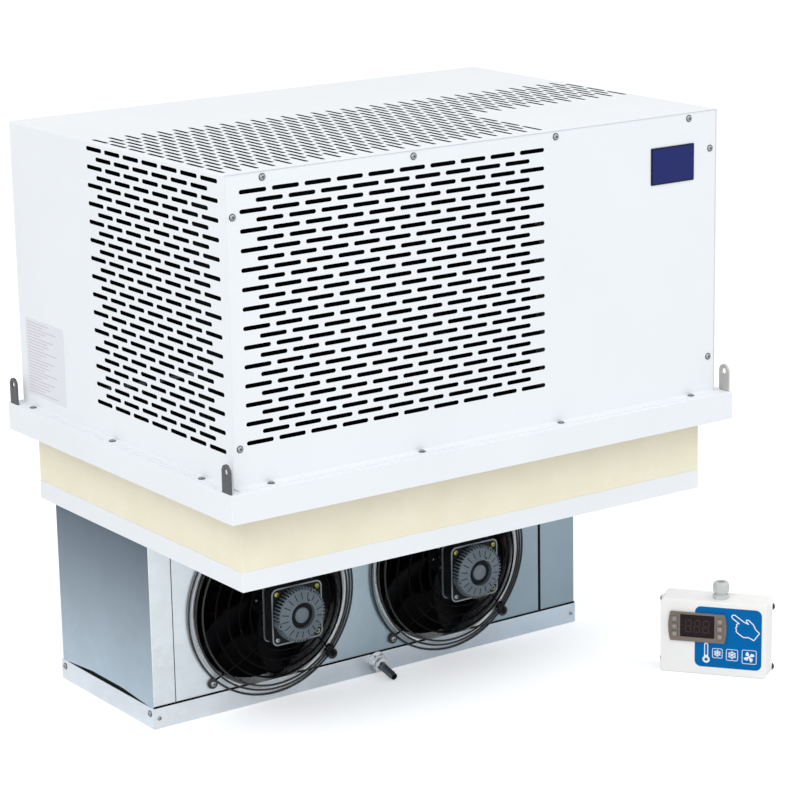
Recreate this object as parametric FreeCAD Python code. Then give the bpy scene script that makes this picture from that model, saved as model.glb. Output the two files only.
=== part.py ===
"""Ceiling monoblock refrigeration unit with its loose control box.

The condensing side stands on a base pan above the cold room's ceiling, an insulated plug
fills the cut-out in the ceiling panel, and a two-fan evaporator hangs below it.
Millimetres. The origin is the centre of the base pan's underside, which rests on the ceiling.
X runs to the right, Y to the back and Z up.
"""
import FreeCAD, Part
import math
import os
from FreeCAD import Rotation, Vector

# Housing above the ceiling
housing_width = 810.0
housing_depth = 570.0
housing_height = 407.0
housing_sheet = 1.2
housing_bend = 1.6
side_lip = 11.0
front_lip = 14.0
panel_inset = 1.0
panel_clearance = 0.5
frame_leaf = 11.5

# Slots in the housing
slot_length = 40.6
slot_width = 5.0
slot_pitch = 49.0
row_pitch = 12.5
front_slot_groups = 3
front_slots_from_left = 22.6
front_rows_from_pan = 57.5
front_rows_below_top = 24.0
side_slots = 7
side_slots_from_front = 14.5
side_rows_from_pan = 47.2
side_rows_below_top = 9.0
top_columns_from_left = 10.5
top_columns_from_right = 11.0
top_column_share = 0.65
band_slots = 3

# Base pan and suspension lugs
side_ledge = 16.5
front_ledge = 21.0
back_ledge = 17.0
pan_height = 40.0
pan_sheet = 1.5
pan_return = 15.0
lug_width = 20.0
lug_thickness = 3.0
lug_rise = 38.0
lug_hole_radius = 4.25
lug_from_end = 15.0
lug_root = 34.0
lug_slit_clearance = 0.5
lug_crown_sides = 6

# Insulated plug in the ceiling cut-out
plug_side_inset = 17.5
plug_front_inset = 14.0
plug_back_inset = 5.0
foam_drop = 78.0
plug_tray_height = 27.0
plug_tray_sheet = 1.2
plug_tray_proud = 0.5

# Evaporator casing
evap_side_inset = 13.5
evap_depth = 264.0
evap_from_plug_back = 16.0
evap_height = 245.0
evap_sheet = 1.0
left_strip = 35.0
right_strip = 65.0
back_strip = 35.0
left_gap = 1.5
right_gap = 5.0
side_arch = 6.0
casing_tuck = 15.0
drip_tray_height = 30.0
drip_tray_sheet = 1.2
drip_tray_proud = 1.5

# Evaporator fans
fan_pair_shift = -4.75
fan_bay_inset = 10.75
fan_below_plug = 126.5
collar_under_plug = 2.5
collar_bay_margin = 31.0
collar_depth = 38.0
collar_sides = 30
fan_tip_clearance = 4.0
guard_overlap = 14.0
guard_rim_step = 11.0
guard_rim_reach = 7.0
guard_wire = 3.0
guard_inner_radius = 46.0
guard_reach = 40.0
guard_rings = 5
guard_sides = 16
guard_clearance = 0.3
guard_eye = 15.0
first_spoke_angle = 45.0
motor_side = 84.0
motor_corner = 10.0
motor_depth = 24.0
cap_radius = 40.0
cap_depth = 17.0
cap_ribs = 8
cap_sides = 16
cap_rim_share = 0.6
cap_shoulder_share = 0.45
cap_recess_share = 0.9
cap_recess_depth = 7.0
cap_bevel = 2.0
cap_rib = 2.4
shaft_radius = 4.0
shaft_clearance = 0.05
shaft_in_motor = 12.0
shaft_sides = 12
hub_radius = 24.0
hub_depth = 22.0
hub_sides = 16
rotor_seat = 0.62
blade_count = 5
blade_thickness = 1.8
blade_pitch = 26.0
blade_camber = 16.0
blade_shoulder_share = 0.7
blade_root_share = 0.3
blade_in_hub_share = 0.9
evap_blade_chord = 74.0

# Coils
fin_thickness = 1.0
fin_web = 1.2
evap_fin_pitch = 34.0
evap_coil_depth = 85.0
evap_coil_from_back = 18.0
coil_end_gap = 41.0
coil_plate_sheet = 1.5
condenser_fin_pitch = 30.0
condenser_coil_from_box = 44.0
condenser_coil_depth = 50.0
condenser_coil_from_left = 22.0
condenser_coil_from_front = 24.0
condenser_coil_below_top = 55.0

# Condenser fan
shroud_sheet = 1.2
shroud_depth = 46.0
condenser_fan_margin = 29.0
condenser_hub_radius = 34.0
condenser_hub_depth = 30.0
condenser_blade_chord = 76.0
shroud_fan_clearance = 5.0
strap_width = 16.0
strap_rise = 30.0
strap_height = 34.0
condenser_motor_radius = 42.0
condenser_motor_depth = 66.0
condenser_motor_bevel = 6.0
condenser_motor_crown_share = 0.7

# Compressor
compressor_radius = 88.0
compressor_height = 176.0
compressor_shoulder = 24.0
compressor_sides = 24
compressor_from_right = 183.0
compressor_from_back = 155.0
foot_side = 176.0
foot_sheet = 3.0
grommet_radius = 13.0
grommet_height = 18.0
foot_hole_inset = 20.0
terminal_width = 62.0
terminal_height = 70.0
terminal_depth = 34.0

# Refrigerant lines
suction_radius = 6.0
liquid_radius = 4.0
line_bend = 12.0
line_sides = 6
passage_margin = 8.0
line_from_right = 24.0
suction_from_back = 86.0
liquid_from_back = 132.0
drier_radius = 13.0
drier_length = 96.0
discharge_z = 150.0
liquid_z = 84.0
line_below_coil_top = 20.0

# Electrical box behind the blank part of the front panel
electrical_width = 230.0
electrical_depth = 72.0
electrical_below_top = 137.0
electrical_from_right = 30.0
electrical_from_front = 24.0

# Drain
drain_x = 3.0
drain_from_rim = 13.0
drain_tilt = 14.0
drain_pipe_radius = 6.0
drain_pipe_wall = 1.2
drain_pipe_length = 46.0
drain_nut_radius = 14.0
drain_nut_depth = 10.0
drain_pipe_fit = 0.06
drain_sides = 12

# Screws
screw_head_radius = 4.2
screw_head_height = 2.4
screw_sides = 6
lip_screw_out = 6.2
panel_screw_drop = 9.0
panel_screw_inset = 12.0
panel_screw_low = 52.0
panel_screw_high = 55.0
panel_screw_shares = (0.071, 0.358, 0.647, 0.937)
lip_screw_shares = (0.066, 0.36, 0.65, 0.94)
side_lip_screw_shares = (0.12, 0.53, 0.93)
tray_screw_inset = 9.0
tray_screw_drop = 9.0
tray_rivet_drop = 15.0

# Cable glands
gland_hex = 12.5
gland_hex_height = 6.0
gland_neck_radius = 9.5
gland_neck_height = 4.0
gland_dome_height = 15.0
gland_bore_radius = 5.5
gland_foot_sides = 6
gland_nut_share = 0.95
gland_taper_share = 0.96
gland_crown_share = 0.3
gland_sides = 8
back_gland_z = 70.0
back_gland_from_right = 60.0
back_gland_spacing = 40.0

# Control box
box_width = 156.0
box_height = 112.0
box_cover_depth = 36.0
box_base_depth = 12.0
box_wall = 2.5
box_corner = 4.0
box_from_right = 21.0
box_from_pan_front = 6.0
box_turn = -52.0
box_seam = 0.4
boss_width = 12.0
boss_reach = 4.0
bezel_width = 86.0
bezel_height = 44.0
bezel_reach = 4.0
bezel_bulge = 3.0
bezel_left = 12.0
bezel_bottom = 50.0
window_clearance = 0.3
controller_width = 71.0
controller_height = 29.0
controller_depth = 26.0
display_width = 50.0
display_height = 34.0
display_lift = 2.0
display_recess = 1.2
display_lens = 1.0
key_width = 9.0
key_height = 9.0
key_pitch = 11.5
key_travel = 1.0
key_proud = 1.0
key_depth = 2.6
key_clearance = 0.3
key_column_inset = 9.5
key_corner = 1.5
box_gland_x = 7.0
box_gland_depth_share = 0.6

half_width = housing_width / 2
pan_depth = front_ledge + housing_depth + back_ledge
pan_front = -pan_depth / 2
pan_back = pan_depth / 2
pan_half = half_width + side_ledge
housing_front = pan_front + front_ledge
housing_back = pan_back - back_ledge
housing_top = pan_height + housing_height
plug_half = half_width - plug_side_inset
plug_front = housing_front + plug_front_inset
plug_back = housing_back - plug_back_inset
plug_bottom = -foam_drop - plug_tray_height
evap_half = plug_half - evap_side_inset
evap_back = plug_back - evap_from_plug_back
evap_front = evap_back - evap_depth
evap_bottom = plug_bottom - evap_height
floor_z = evap_bottom - drip_tray_height
fan_z = plug_bottom - fan_below_plug
fan_panel_left = -evap_half + left_strip + left_gap
fan_panel_right = evap_half - right_strip - right_gap
fan_spacing = (fan_panel_right - fan_panel_left) / 2 - fan_bay_inset
fan_middle = (fan_panel_left + fan_panel_right) / 2 + fan_pair_shift
fan_centres = {"left": fan_middle - fan_spacing / 2, "right": fan_middle + fan_spacing / 2}
collar_radius = min(fan_below_plug - collar_under_plug, fan_spacing / 2 - collar_bay_margin)
guard_radius = collar_radius + guard_overlap
line_x = evap_half - line_from_right
suction_y = plug_back - suction_from_back
liquid_y = plug_back - liquid_from_back
coil_half = evap_half - coil_end_gap
condenser_coil_width = (housing_width - condenser_coil_from_left - condenser_coil_from_box
                        - electrical_width - electrical_from_right)
condenser_coil_height = housing_height - condenser_coil_below_top
condenser_fan_radius = (min(condenser_coil_width, condenser_coil_height) / 2
                        - condenser_fan_margin)
line_top_z = pan_height + condenser_coil_height - line_below_coil_top
electrical_height = housing_height - electrical_below_top
compressor_x = half_width - compressor_from_right
compressor_y = housing_back - compressor_from_back
front_rows = 1 + int((housing_height - front_rows_from_pan - front_rows_below_top) // row_pitch)
front_slots = 1 + int(condenser_coil_width // slot_pitch)
side_rows = 1 + int((housing_height - side_rows_from_pan - side_rows_below_top) // row_pitch)
all_columns = 1 + int((housing_width - top_columns_from_left - top_columns_from_right)
                      // row_pitch)
top_columns = int(all_columns * top_column_share)
box_x = half_width - box_from_right
box_y = pan_front - box_from_pan_front


def block(x0, y0, z0, x1, y1, z1):
    """Box between two corners."""
    return Part.makeBox(x1 - x0, y1 - y0, z1 - z0, Vector(x0, y0, z0))


def rod(radius, length, start, direction):
    """Cylinder from a point along a direction."""
    return Part.makeCylinder(radius, length, start, direction)


def plate(points, sweep):
    """Flat outline through the points, extruded along a vector."""
    return Part.Face(Part.makePolygon(points + points[:1])).extrude(sweep)


def joined(shapes):
    """One solid from shapes that touch."""
    return shapes[0].multiFuse(shapes[1:]).removeSplitter()


def xz_plane(y):
    """Maps sheet coordinates to the plane across the unit at one depth."""
    return lambda u, v: Vector(u, y, v)


def xy_plane(z):
    """Maps sheet coordinates to the level plane at one height."""
    return lambda u, v: Vector(u, v, z)


def yz_plane(x):
    """Maps sheet coordinates to the fore-and-aft plane at one side."""
    return lambda u, v: Vector(x, u, v)


def bend_data(before, corner, after, middle):
    """Directions, tangent length and arc centre of one bend of a sheet's middle line."""
    first = (corner - before).normalize()
    second = (after - corner).normalize()
    sign = 1 if first.cross(second).z > 0 else -1
    tangent = middle * math.tan(first.getAngle(second) / 2)
    normal = Vector(-first.y, first.x, 0)
    centre = corner - first * tangent + normal * (middle * sign)
    return first, second, sign, tangent, centre


def sheet_side(path, side, half, middle):
    """Lines and arcs of one face of a bent sheet, in its own plane."""
    edges = []
    start = None
    for index in range(len(path)):
        if index in (0, len(path) - 1):
            near = path[1] - path[0] if index == 0 else path[-1] - path[-2]
            run = near.normalize()
            end = path[index] + Vector(-run.y, run.x, 0) * (half * side)
            if start is not None:
                edges.append(((start, end), None))
            start = end
            continue
        bend = bend_data(path[index - 1], path[index], path[index + 1], middle)
        first, second, sign, tangent, centre = bend
        radius = middle - side * sign * half
        into = path[index] - first * tangent + Vector(-first.y, first.x, 0) * (half * side)
        out = path[index] + second * tangent + Vector(-second.y, second.x, 0) * (half * side)
        crown = centre + (path[index] - centre).normalize() * radius
        edges.append(((start, into), None))
        edges.append(((into, out), crown))
        start = out
    return edges


def bent_sheet(points, thickness, bend, lift, sweep):
    """Sheet whose middle line passes through the points, bent with one inner radius."""
    path = [Vector(u, v, 0) for u, v in points]
    half = thickness / 2
    runs = {side: sheet_side(path, side, half, bend + half) for side in (1, -1)}
    edges = []
    for side in (1, -1):
        for (a, b), crown in runs[side]:
            if crown is None:
                edges.append(Part.LineSegment(lift(a.x, a.y), lift(b.x, b.y)).toShape())
            else:
                arc = Part.Arc(lift(a.x, a.y), lift(crown.x, crown.y), lift(b.x, b.y))
                edges.append(arc.toShape())
    for end in (0, -1):
        a = runs[1][end][0][end]
        b = runs[-1][end][0][end]
        edges.append(Part.LineSegment(lift(a.x, a.y), lift(b.x, b.y)).toShape())
    outline = Part.Wire(Part.__sortEdges__(edges))
    return Part.Face(outline).extrude(sweep)


def flat(points):
    """Face through points that lie in one plane."""
    return Part.Face(Part.makePolygon(points + points[:1]))


def stacked(rings):
    """Closed solid whose sides join each ring of points to the next."""
    count = len(rings[0])
    faces = [flat(rings[0]), flat(rings[-1])]
    for low, high in zip(rings, rings[1:]):
        for k in range(count):
            after = (k + 1) % count
            faces.append(flat([low[k], low[after], high[after], high[k]]))
    solid = Part.makeSolid(Part.makeShell(faces))
    if solid.Volume < 0:
        solid.reverse()
    return solid


def turned(profile, sides, start, axis):
    """Round part with flat sides, from pairs of radius and height along an axis."""
    turn = Rotation(Vector(0, 0, 1), axis)
    angles = [2 * math.pi * (k + 0.5) / sides for k in range(sides)]
    rings = []
    for radius, height in profile:
        rings.append([
            start + turn.multVec(Vector(radius * math.cos(a), radius * math.sin(a), height))
            for a in angles
        ])
    return stacked(rings)


def rounded_path(points, bend):
    """Path with each corner replaced by the start, middle and end of its bend."""
    path = [points[0]]
    for before, corner, after in zip(points, points[1:], points[2:]):
        first = (corner - before).normalize()
        second = (after - corner).normalize()
        half_turn = first.getAngle(second) / 2
        tangent = bend * math.tan(half_turn)
        inward = (second - first).normalize()
        crown = corner + inward * (bend / math.cos(half_turn) - bend)
        path += [corner - first * tangent, crown, corner + second * tangent]
    return path + [points[-1]]


def line(points, radius, bend=line_bend):
    """Refrigerant line with flat sides, mitred round each bend."""
    path = rounded_path(points, bend)
    runs = [(b - a).normalize() for a, b in zip(path, path[1:])]
    turn = Rotation(Vector(0, 0, 1), runs[0])
    angles = [2 * math.pi * (k + 0.5) / line_sides for k in range(line_sides)]
    ring = [path[0] + turn.multVec(Vector(radius * math.cos(a), radius * math.sin(a), 0))
            for a in angles]
    rings = [ring]
    for index, run in enumerate(runs):
        corner = path[index + 1]
        normal = run + runs[index + 1] if index + 1 < len(runs) else run
        ring = [p + run * ((corner - p).dot(normal) / run.dot(normal)) for p in ring]
        rings.append(ring)
    return stacked(rings)


def ring_outline(centre, radius, ceiling):
    """Guard ring's outline, flattened where the plug stands over it."""
    turn = 2 * math.pi / guard_sides
    points = []
    for k in range(guard_sides):
        angle = (k + 0.5) * turn
        z = min(centre.z + radius * math.sin(angle), ceiling)
        points.append(Vector(centre.x + radius * math.cos(angle), centre.y, z))
    return flat(points)


def wire_ring(centre, outer):
    """Wire ring about the Y axis with flat sides, its front at the centre's Y."""
    ceiling = plug_bottom - guard_clearance
    outside = ring_outline(centre, outer, ceiling)
    inside = ring_outline(centre, outer - guard_wire, ceiling - guard_wire)
    return outside.cut(inside).extrude(Vector(0, guard_wire, 0))


def shaft_bore(start, direction):
    """Cutter for the bore that a fan's shaft runs in, clear of the shaft all round."""
    radius = (shaft_radius + shaft_clearance) / math.cos(math.pi / shaft_sides)
    return turned([(radius, -1), (radius, shaft_in_motor + 0.5)], shaft_sides, start, direction)


def fan_shaft(start, end):
    """Shaft of a fan wheel between two points."""
    return turned([(shaft_radius, 0), (shaft_radius, (end - start).Length)], shaft_sides, start,
                  end - start)


def slot_run(count, row):
    """Start offset and count of the slots in one row; every other row is staggered."""
    if row % 2:
        return slot_pitch / 2, count - 1
    return 0.0, count


def front_slot_cutters():
    """The front panel's staggered slots, joined into a few long ones along each row."""
    cutters = []
    for row in range(front_rows):
        offset, count = slot_run(front_slots, row)
        z = pan_height + front_rows_from_pan + row * row_pitch
        x = -half_width + front_slots_from_left + offset
        for group in range(front_slot_groups):
            slots = count // front_slot_groups + (group < count % front_slot_groups)
            reach = (slots - 1) * slot_pitch + slot_length
            cutters.append(
                block(x, housing_front - 1, z - slot_width / 2,
                      x + reach, housing_front + frame_leaf, z + slot_width / 2)
            )
            x += slots * slot_pitch
    return Part.makeCompound(cutters)


def side_slot_cutters():
    """The left side's rows, each joined into one long slot."""
    cutters = []
    for row in range(side_rows):
        offset, count = slot_run(side_slots, row)
        z = pan_height + side_rows_from_pan + row * row_pitch
        y = housing_front + side_slots_from_front + offset
        reach = (count - 1) * slot_pitch + slot_length
        cutters.append(
            block(-half_width - 1, y, z - slot_width / 2,
                  -half_width + 3 * housing_sheet, y + reach, z + slot_width / 2)
        )
    return cutters


def top_slot_cutters():
    """The top's columns, each joined into one long slot; the rear band runs on to the right."""
    cutters = []
    for column in range(all_columns):
        offset, count = slot_run(side_slots, column)
        x = -half_width + top_columns_from_left + column * row_pitch
        y_end = housing_front + side_slots_from_front + offset
        y_end += (count - 1) * slot_pitch + slot_length
        slots = count if column < top_columns else band_slots
        y = y_end - (slots - 1) * slot_pitch - slot_length
        cutters.append(
            block(x - slot_width / 2, y, housing_top - 3 * housing_sheet,
                  x + slot_width / 2, y_end, housing_top + 1)
        )
    return cutters


def housing_shell():
    """Left side, top and right side in one folded sheet with outward lips at the foot."""
    half = housing_sheet / 2
    wall = half_width - half
    foot = pan_height + half
    tip = half_width + side_lip
    profile = [(-tip, foot), (-wall, foot), (-wall, housing_top - half),
               (wall, housing_top - half), (wall, foot), (tip, foot)]
    sheet = bent_sheet(profile, housing_sheet, housing_bend, xz_plane(housing_front),
                       Vector(0, housing_depth, 0))
    return sheet.cut(Part.makeCompound(side_slot_cutters() + top_slot_cutters()))


def panel_half():
    """Half the width of the front and back panels, which stand between the side walls."""
    return half_width - housing_sheet - panel_clearance


def panel_top():
    """Top edge of the front and back panels."""
    return housing_top - housing_sheet - panel_clearance


def front_panel():
    """Slotted front sheet with an outward lip on the base pan."""
    half = housing_sheet / 2
    y = housing_front + panel_inset + half
    z = pan_height + half
    profile = [(y - front_lip, z), (y, z), (y, panel_top())]
    sheet = bent_sheet(profile, housing_sheet, housing_bend, yz_plane(-panel_half()),
                       Vector(2 * panel_half(), 0, 0))
    return sheet.cut(front_slot_cutters())


def back_panel():
    """Plain back sheet with an outward lip and two gland holes."""
    half = housing_sheet / 2
    y = housing_back - panel_inset - half
    z = pan_height + half
    profile = [(y + side_lip, z), (y, z), (y, panel_top())]
    sheet = bent_sheet(profile, housing_sheet, housing_bend, yz_plane(-panel_half()),
                       Vector(2 * panel_half(), 0, 0))
    through = [(gland_bore_radius, -4 * housing_sheet), (gland_bore_radius, housing_sheet)]
    holes = [turned(through, gland_sides, place, Vector(0, 1, 0))
             for place in back_gland_places()]
    return sheet.cut(Part.makeCompound(holes))


def panel_frame(face_y, inward):
    """Angle-section frame round the inside of the shell that a panel is screwed to."""
    outer = panel_half()
    top = panel_top()
    leaf_end = face_y + inward * housing_sheet
    wall_end = face_y + inward * frame_leaf
    shapes = []
    for start, end, width in ((face_y, leaf_end, frame_leaf), (leaf_end, wall_end, housing_sheet)):
        inner = outer - width
        outline = [(-outer, pan_height), (-outer, top), (outer, top), (outer, pan_height),
                   (inner, pan_height), (inner, top - width), (-inner, top - width),
                   (-inner, pan_height)]
        shapes.append(plate([Vector(x, start, z) for x, z in outline], Vector(0, end - start, 0)))
    return joined(shapes)


def line_passage(low, high):
    """Upright passage for the two refrigerant lines."""
    margin = suction_radius + passage_margin
    return block(line_x - margin, liquid_y - margin, low - 1,
                 line_x + margin, suction_y + margin, high + 1)


def lug_centres():
    """Side sign and Y of each suspension lug."""
    return {
        "front_left": (-1, pan_front + lug_from_end),
        "front_right": (1, pan_front + lug_from_end),
        "rear_left": (-1, pan_back - lug_from_end),
        "rear_right": (1, pan_back - lug_from_end),
    }


def lug_outer_x(side):
    """Outer face of a lug, which stands against the inside of the pan's skirt."""
    return side * (pan_half - pan_sheet)


def base_pan():
    """Folded pan: top plate, skirts and inward returns that rest on the ceiling."""
    outer = block(-pan_half, pan_front, 0, pan_half, pan_back, pan_height)
    wall = pan_sheet
    cavity = block(-pan_half + wall, pan_front + wall, wall,
                   pan_half - wall, pan_back - wall, pan_height - wall)
    lip = wall + pan_return
    mouth = block(-pan_half + lip, pan_front + lip, -1, pan_half - lip, pan_back - lip, 2 * wall)
    cutters = [mouth, line_passage(pan_height - wall, pan_height)]
    for side, y in lug_centres().values():
        x_out = lug_outer_x(side)
        x_in = x_out - side * (lug_thickness + lug_slit_clearance)
        reach = lug_width / 2 + lug_slit_clearance
        cutters.append(block(min(x_out, x_in), y - reach, pan_height / 2,
                             max(x_out, x_in), y + reach, pan_height + 1))
    return outer.cut(cavity).cut(Part.makeCompound(cutters))


def suspension_lug(side, y):
    """Upright steel tab with a round top and a hole for a hanging rod."""
    x = lug_outer_x(side) - (lug_thickness if side > 0 else 0)
    radius = lug_width / 2
    top = pan_height + lug_rise - radius
    low = pan_height - lug_root
    outline = [(-radius, low), (radius, low)]
    for k in range(lug_crown_sides + 1):
        angle = math.pi * k / lug_crown_sides
        outline.append((radius * math.cos(angle), top + radius * math.sin(angle)))
    tab = plate([Vector(x, y + u, v) for u, v in outline], Vector(lug_thickness, 0, 0))
    return tab.cut(rod(lug_hole_radius, lug_thickness + 2, Vector(x - 1, y, top), Vector(1, 0, 0)))


def suspension_lugs():
    """The four lugs at the corners of the pan."""
    return Part.makeCompound([suspension_lug(side, y) for side, y in lug_centres().values()])


def foam_plug():
    """Cream foam block under the pan, stepped in where the plug tray wraps it."""
    step = plug_tray_sheet - plug_tray_proud + panel_clearance
    upper = block(-plug_half, plug_front, -foam_drop, plug_half, plug_back, pan_height - pan_sheet)
    lower = block(-plug_half + step, plug_front + step, plug_bottom + plug_tray_sheet,
                  plug_half - step, plug_back - step, -foam_drop)
    return joined([upper, lower]).cut(line_passage(plug_bottom, pan_height))


def plug_tray():
    """White folded tray that closes the plug's underside."""
    proud = plug_tray_proud
    wall = plug_tray_sheet
    outer = block(-plug_half - proud, plug_front - proud, plug_bottom,
                  plug_half + proud, plug_back + proud, -foam_drop)
    inside = proud - wall
    cavity = block(-plug_half - inside, plug_front - inside, plug_bottom + wall,
                   plug_half + inside, plug_back + inside, 1)
    return outer.cut(cavity).cut(line_passage(plug_bottom, -foam_drop))


def evaporator_top_plate():
    """Sheet under the plug that the coil and the casing are hung from."""
    margin = evap_sheet + panel_clearance
    sheet = block(-evap_half + margin, evap_front + margin, plug_bottom - evap_sheet,
                  evap_half - margin, evap_back - margin, plug_bottom)
    return sheet.cut(line_passage(plug_bottom - evap_sheet, plug_bottom))


def casing_side(side, strip):
    """Side panel folded round the front and back, tucked into the drip tray at its corners."""
    half = evap_sheet / 2
    x = side * (evap_half - half)
    front = evap_front + half
    back = evap_back - half
    low = evap_bottom - casing_tuck
    profile = [(x - side * (strip - half), front), (x, front), (x, back),
               (x - side * (back_strip - half), back)]
    sheet = bent_sheet(profile, evap_sheet, evap_sheet, xy_plane(low),
                       Vector(0, 0, plug_bottom - low))
    end = casing_tuck
    third = evap_depth / 3
    arch = [(evap_front + end, low - 1), (evap_front + end, evap_bottom),
            (evap_front + third, evap_bottom + side_arch),
            (evap_back - third, evap_bottom + side_arch),
            (evap_back - end, evap_bottom), (evap_back - end, low - 1)]
    points = [Vector(x - 2, y, z) for y, z in arch]
    return sheet.cut(plate(points, Vector(4, 0, 0)))


def fan_panel():
    """Front sheet between the corner strips, with two drawn collars for the fans."""
    low = evap_bottom - casing_tuck
    sheet = block(fan_panel_left, evap_front, low, fan_panel_right, evap_front + evap_sheet,
                  plug_bottom)
    collars = []
    holes = []
    outer = collar_radius + evap_sheet
    for x in fan_centres.values():
        face = Vector(x, evap_front, fan_z)
        collars.append(turned([(outer, 0), (outer, collar_depth)], collar_sides, face,
                              Vector(0, 1, 0)))
        holes.append(turned([(collar_radius, -1), (collar_radius, collar_depth + 1)],
                            collar_sides, face, Vector(0, 1, 0)))
    return joined([sheet] + collars).cut(Part.makeCompound(holes))


def fin_pack(low, high, pitch, web_at_front):
    """Upright fins across the unit on one thin web, open on the other side."""
    web_y = low.y + fin_web if web_at_front else high.y - fin_web
    far_y = high.y if web_at_front else low.y
    back_y = low.y if web_at_front else high.y
    count = int((high.x - low.x) // pitch)
    step = (high.x - low.x - fin_thickness) / count
    points = [Vector(low.x, back_y, low.z)]
    for index in range(count + 1):
        x = low.x + index * step
        points += [Vector(x, far_y, low.z), Vector(x + fin_thickness, far_y, low.z)]
        if index < count:
            points += [Vector(x + fin_thickness, web_y, low.z), Vector(x + step, web_y, low.z)]
    points.append(Vector(high.x, back_y, low.z))
    return plate(points, Vector(0, 0, high.z - low.z))


def evaporator_coil():
    """Evaporator fins, open to the air that enters from the back."""
    y1 = evap_back - evap_coil_from_back
    low = Vector(-coil_half, y1 - evap_coil_depth, evap_bottom + evap_coil_from_back / 2)
    high = Vector(coil_half, y1, plug_bottom - evap_sheet)
    return fin_pack(low, high, evap_fin_pitch, True)


def coil_end_plates():
    """Flanged plates that carry the evaporator coil from the top plate."""
    shapes = []
    y1 = evap_back - evap_coil_from_back
    y0 = y1 - evap_coil_depth
    low = evap_bottom + evap_coil_from_back / 2
    for side in (-1, 1):
        x = side * coil_half
        shapes.append(block(min(x, x + side * coil_plate_sheet), y0, low,
                            max(x, x + side * coil_plate_sheet), y1, plug_bottom - evap_sheet))
    return Part.makeCompound(shapes)


def drip_tray():
    """Open galvanized tray under the casing, with a drain hole in its front."""
    half = evap_half + drip_tray_proud
    y0 = evap_front - drip_tray_proud
    y1 = evap_back + drip_tray_proud
    wall = drip_tray_sheet
    outer = block(-half, y0, floor_z, half, y1, evap_bottom)
    cavity = block(-half + wall, y0 + wall, floor_z + wall, half - wall, y1 - wall, 1)
    bore = drain_pipe_radius - drain_pipe_wall
    hole = turned([(bore, -2 * wall), (bore, 2 * wall)], line_sides, drain_start(),
                  Vector(0, 1, 0))
    return outer.cut(cavity).cut(hole)


def drain_start():
    """Centre of the drain on the tray's front face."""
    return Vector(drain_x, evap_front - drip_tray_proud, evap_bottom - drain_from_rim)


def drain_direction():
    """Direction in which the drain pipe leaves the tray, sloping down to the front."""
    tilt = math.radians(drain_tilt)
    return Vector(0, -math.cos(tilt), -math.sin(tilt))


def drain_nut():
    """Lock nut that holds the drain pipe on the tray."""
    nut = turned([(drain_nut_radius, 0), (drain_nut_radius, drain_nut_depth)], screw_sides,
                 drain_start(), Vector(0, -1, 0))
    reach = 2 * drain_nut_depth
    way = drain_pipe_radius + drain_pipe_fit
    return nut.cut(turned([(way, -reach), (way, reach)], drain_sides, drain_start(),
                          drain_direction()))


def drain_pipe():
    """Metal outlet that a hose is pushed on, cut off along the tray's face at its root."""
    root = -drain_nut_depth
    bore = drain_pipe_radius - drain_pipe_wall
    outer = turned([(drain_pipe_radius, root), (drain_pipe_radius, drain_pipe_length)],
                   drain_sides, drain_start(), drain_direction())
    inner = turned([(bore, root - 1), (bore, drain_pipe_length + 1)], drain_sides,
                   drain_start(), drain_direction())
    tray_side = block(-evap_half, evap_front - drip_tray_proud, floor_z,
                      evap_half, evap_back, evap_bottom)
    return outer.cut(inner).cut(tray_side)


def guard_profile(index):
    """Radius and reach of one ring: two rings lie close together at the rim."""
    rim = [(guard_radius, 0.0), (guard_radius - guard_rim_step, guard_rim_reach)]
    if index < len(rim):
        return rim[index]
    share = (index - len(rim) + 1) / (guard_rings - len(rim))
    radius = rim[-1][0] + (guard_inner_radius - rim[-1][0]) * share
    reach = rim[-1][1] + (guard_reach - rim[-1][1]) * math.sin(share * math.pi / 2)
    return radius, reach


def guard_face():
    """Front of the guard's outer ring, which hangs just in front of the drip tray."""
    return evap_front - drip_tray_proud - guard_clearance - guard_wire


def fan_guard(x):
    """Wire basket over a fan: rings, four bent spokes, and eyes that seat on the fan panel."""
    face = guard_face()
    shapes = []
    for index in range(guard_rings):
        radius, reach = guard_profile(index)
        shapes.append(wire_ring(Vector(x, face - reach, fan_z), radius))
    half = guard_wire / 2
    profile = [(guard_profile(k)[0] - half, face - guard_profile(k)[1] + half)
               for k in (0, 1, 3, guard_rings - 1)]
    near = [(r, y - half) for r, y in profile]
    far = [(r, y + half) for r, y in reversed(profile)]
    spoke = plate([Vector(r, y, -half) for r, y in near + far], Vector(0, 0, guard_wire))
    seat = Vector(guard_radius + (guard_eye - guard_wire) / 2, evap_front, 0)
    eye = turned([(guard_eye / 2, 0), (guard_eye / 2, evap_front - face)], screw_sides, seat,
                 Vector(0, -1, 0))
    for quarter in range(4):
        for piece in (spoke, eye):
            arm = piece.copy()
            arm.rotate(Vector(0, 0, 0), Vector(0, 1, 0), first_spoke_angle + 90 * quarter)
            arm.translate(Vector(x, 0, fan_z))
            shapes.append(arm)
    return joined(shapes)


def motor_back_y():
    """Back face of the fan motors, on the innermost guard ring."""
    return guard_face() - guard_reach


def evaporator_motor(x):
    """Square laminated motor body with cut corners and a bore for the shaft."""
    y = motor_back_y()
    half = motor_side / 2
    cut = half - motor_corner
    corners = [(half, cut), (cut, half), (-cut, half), (-half, cut),
               (-half, -cut), (-cut, -half), (cut, -half), (half, -cut)]
    outline = [Vector(x + u, y, fan_z + v) for u, v in corners]
    body = plate(outline, Vector(0, -motor_depth, 0))
    return body.cut(shaft_bore(Vector(x, y, fan_z), Vector(0, -1, 0)))


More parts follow.
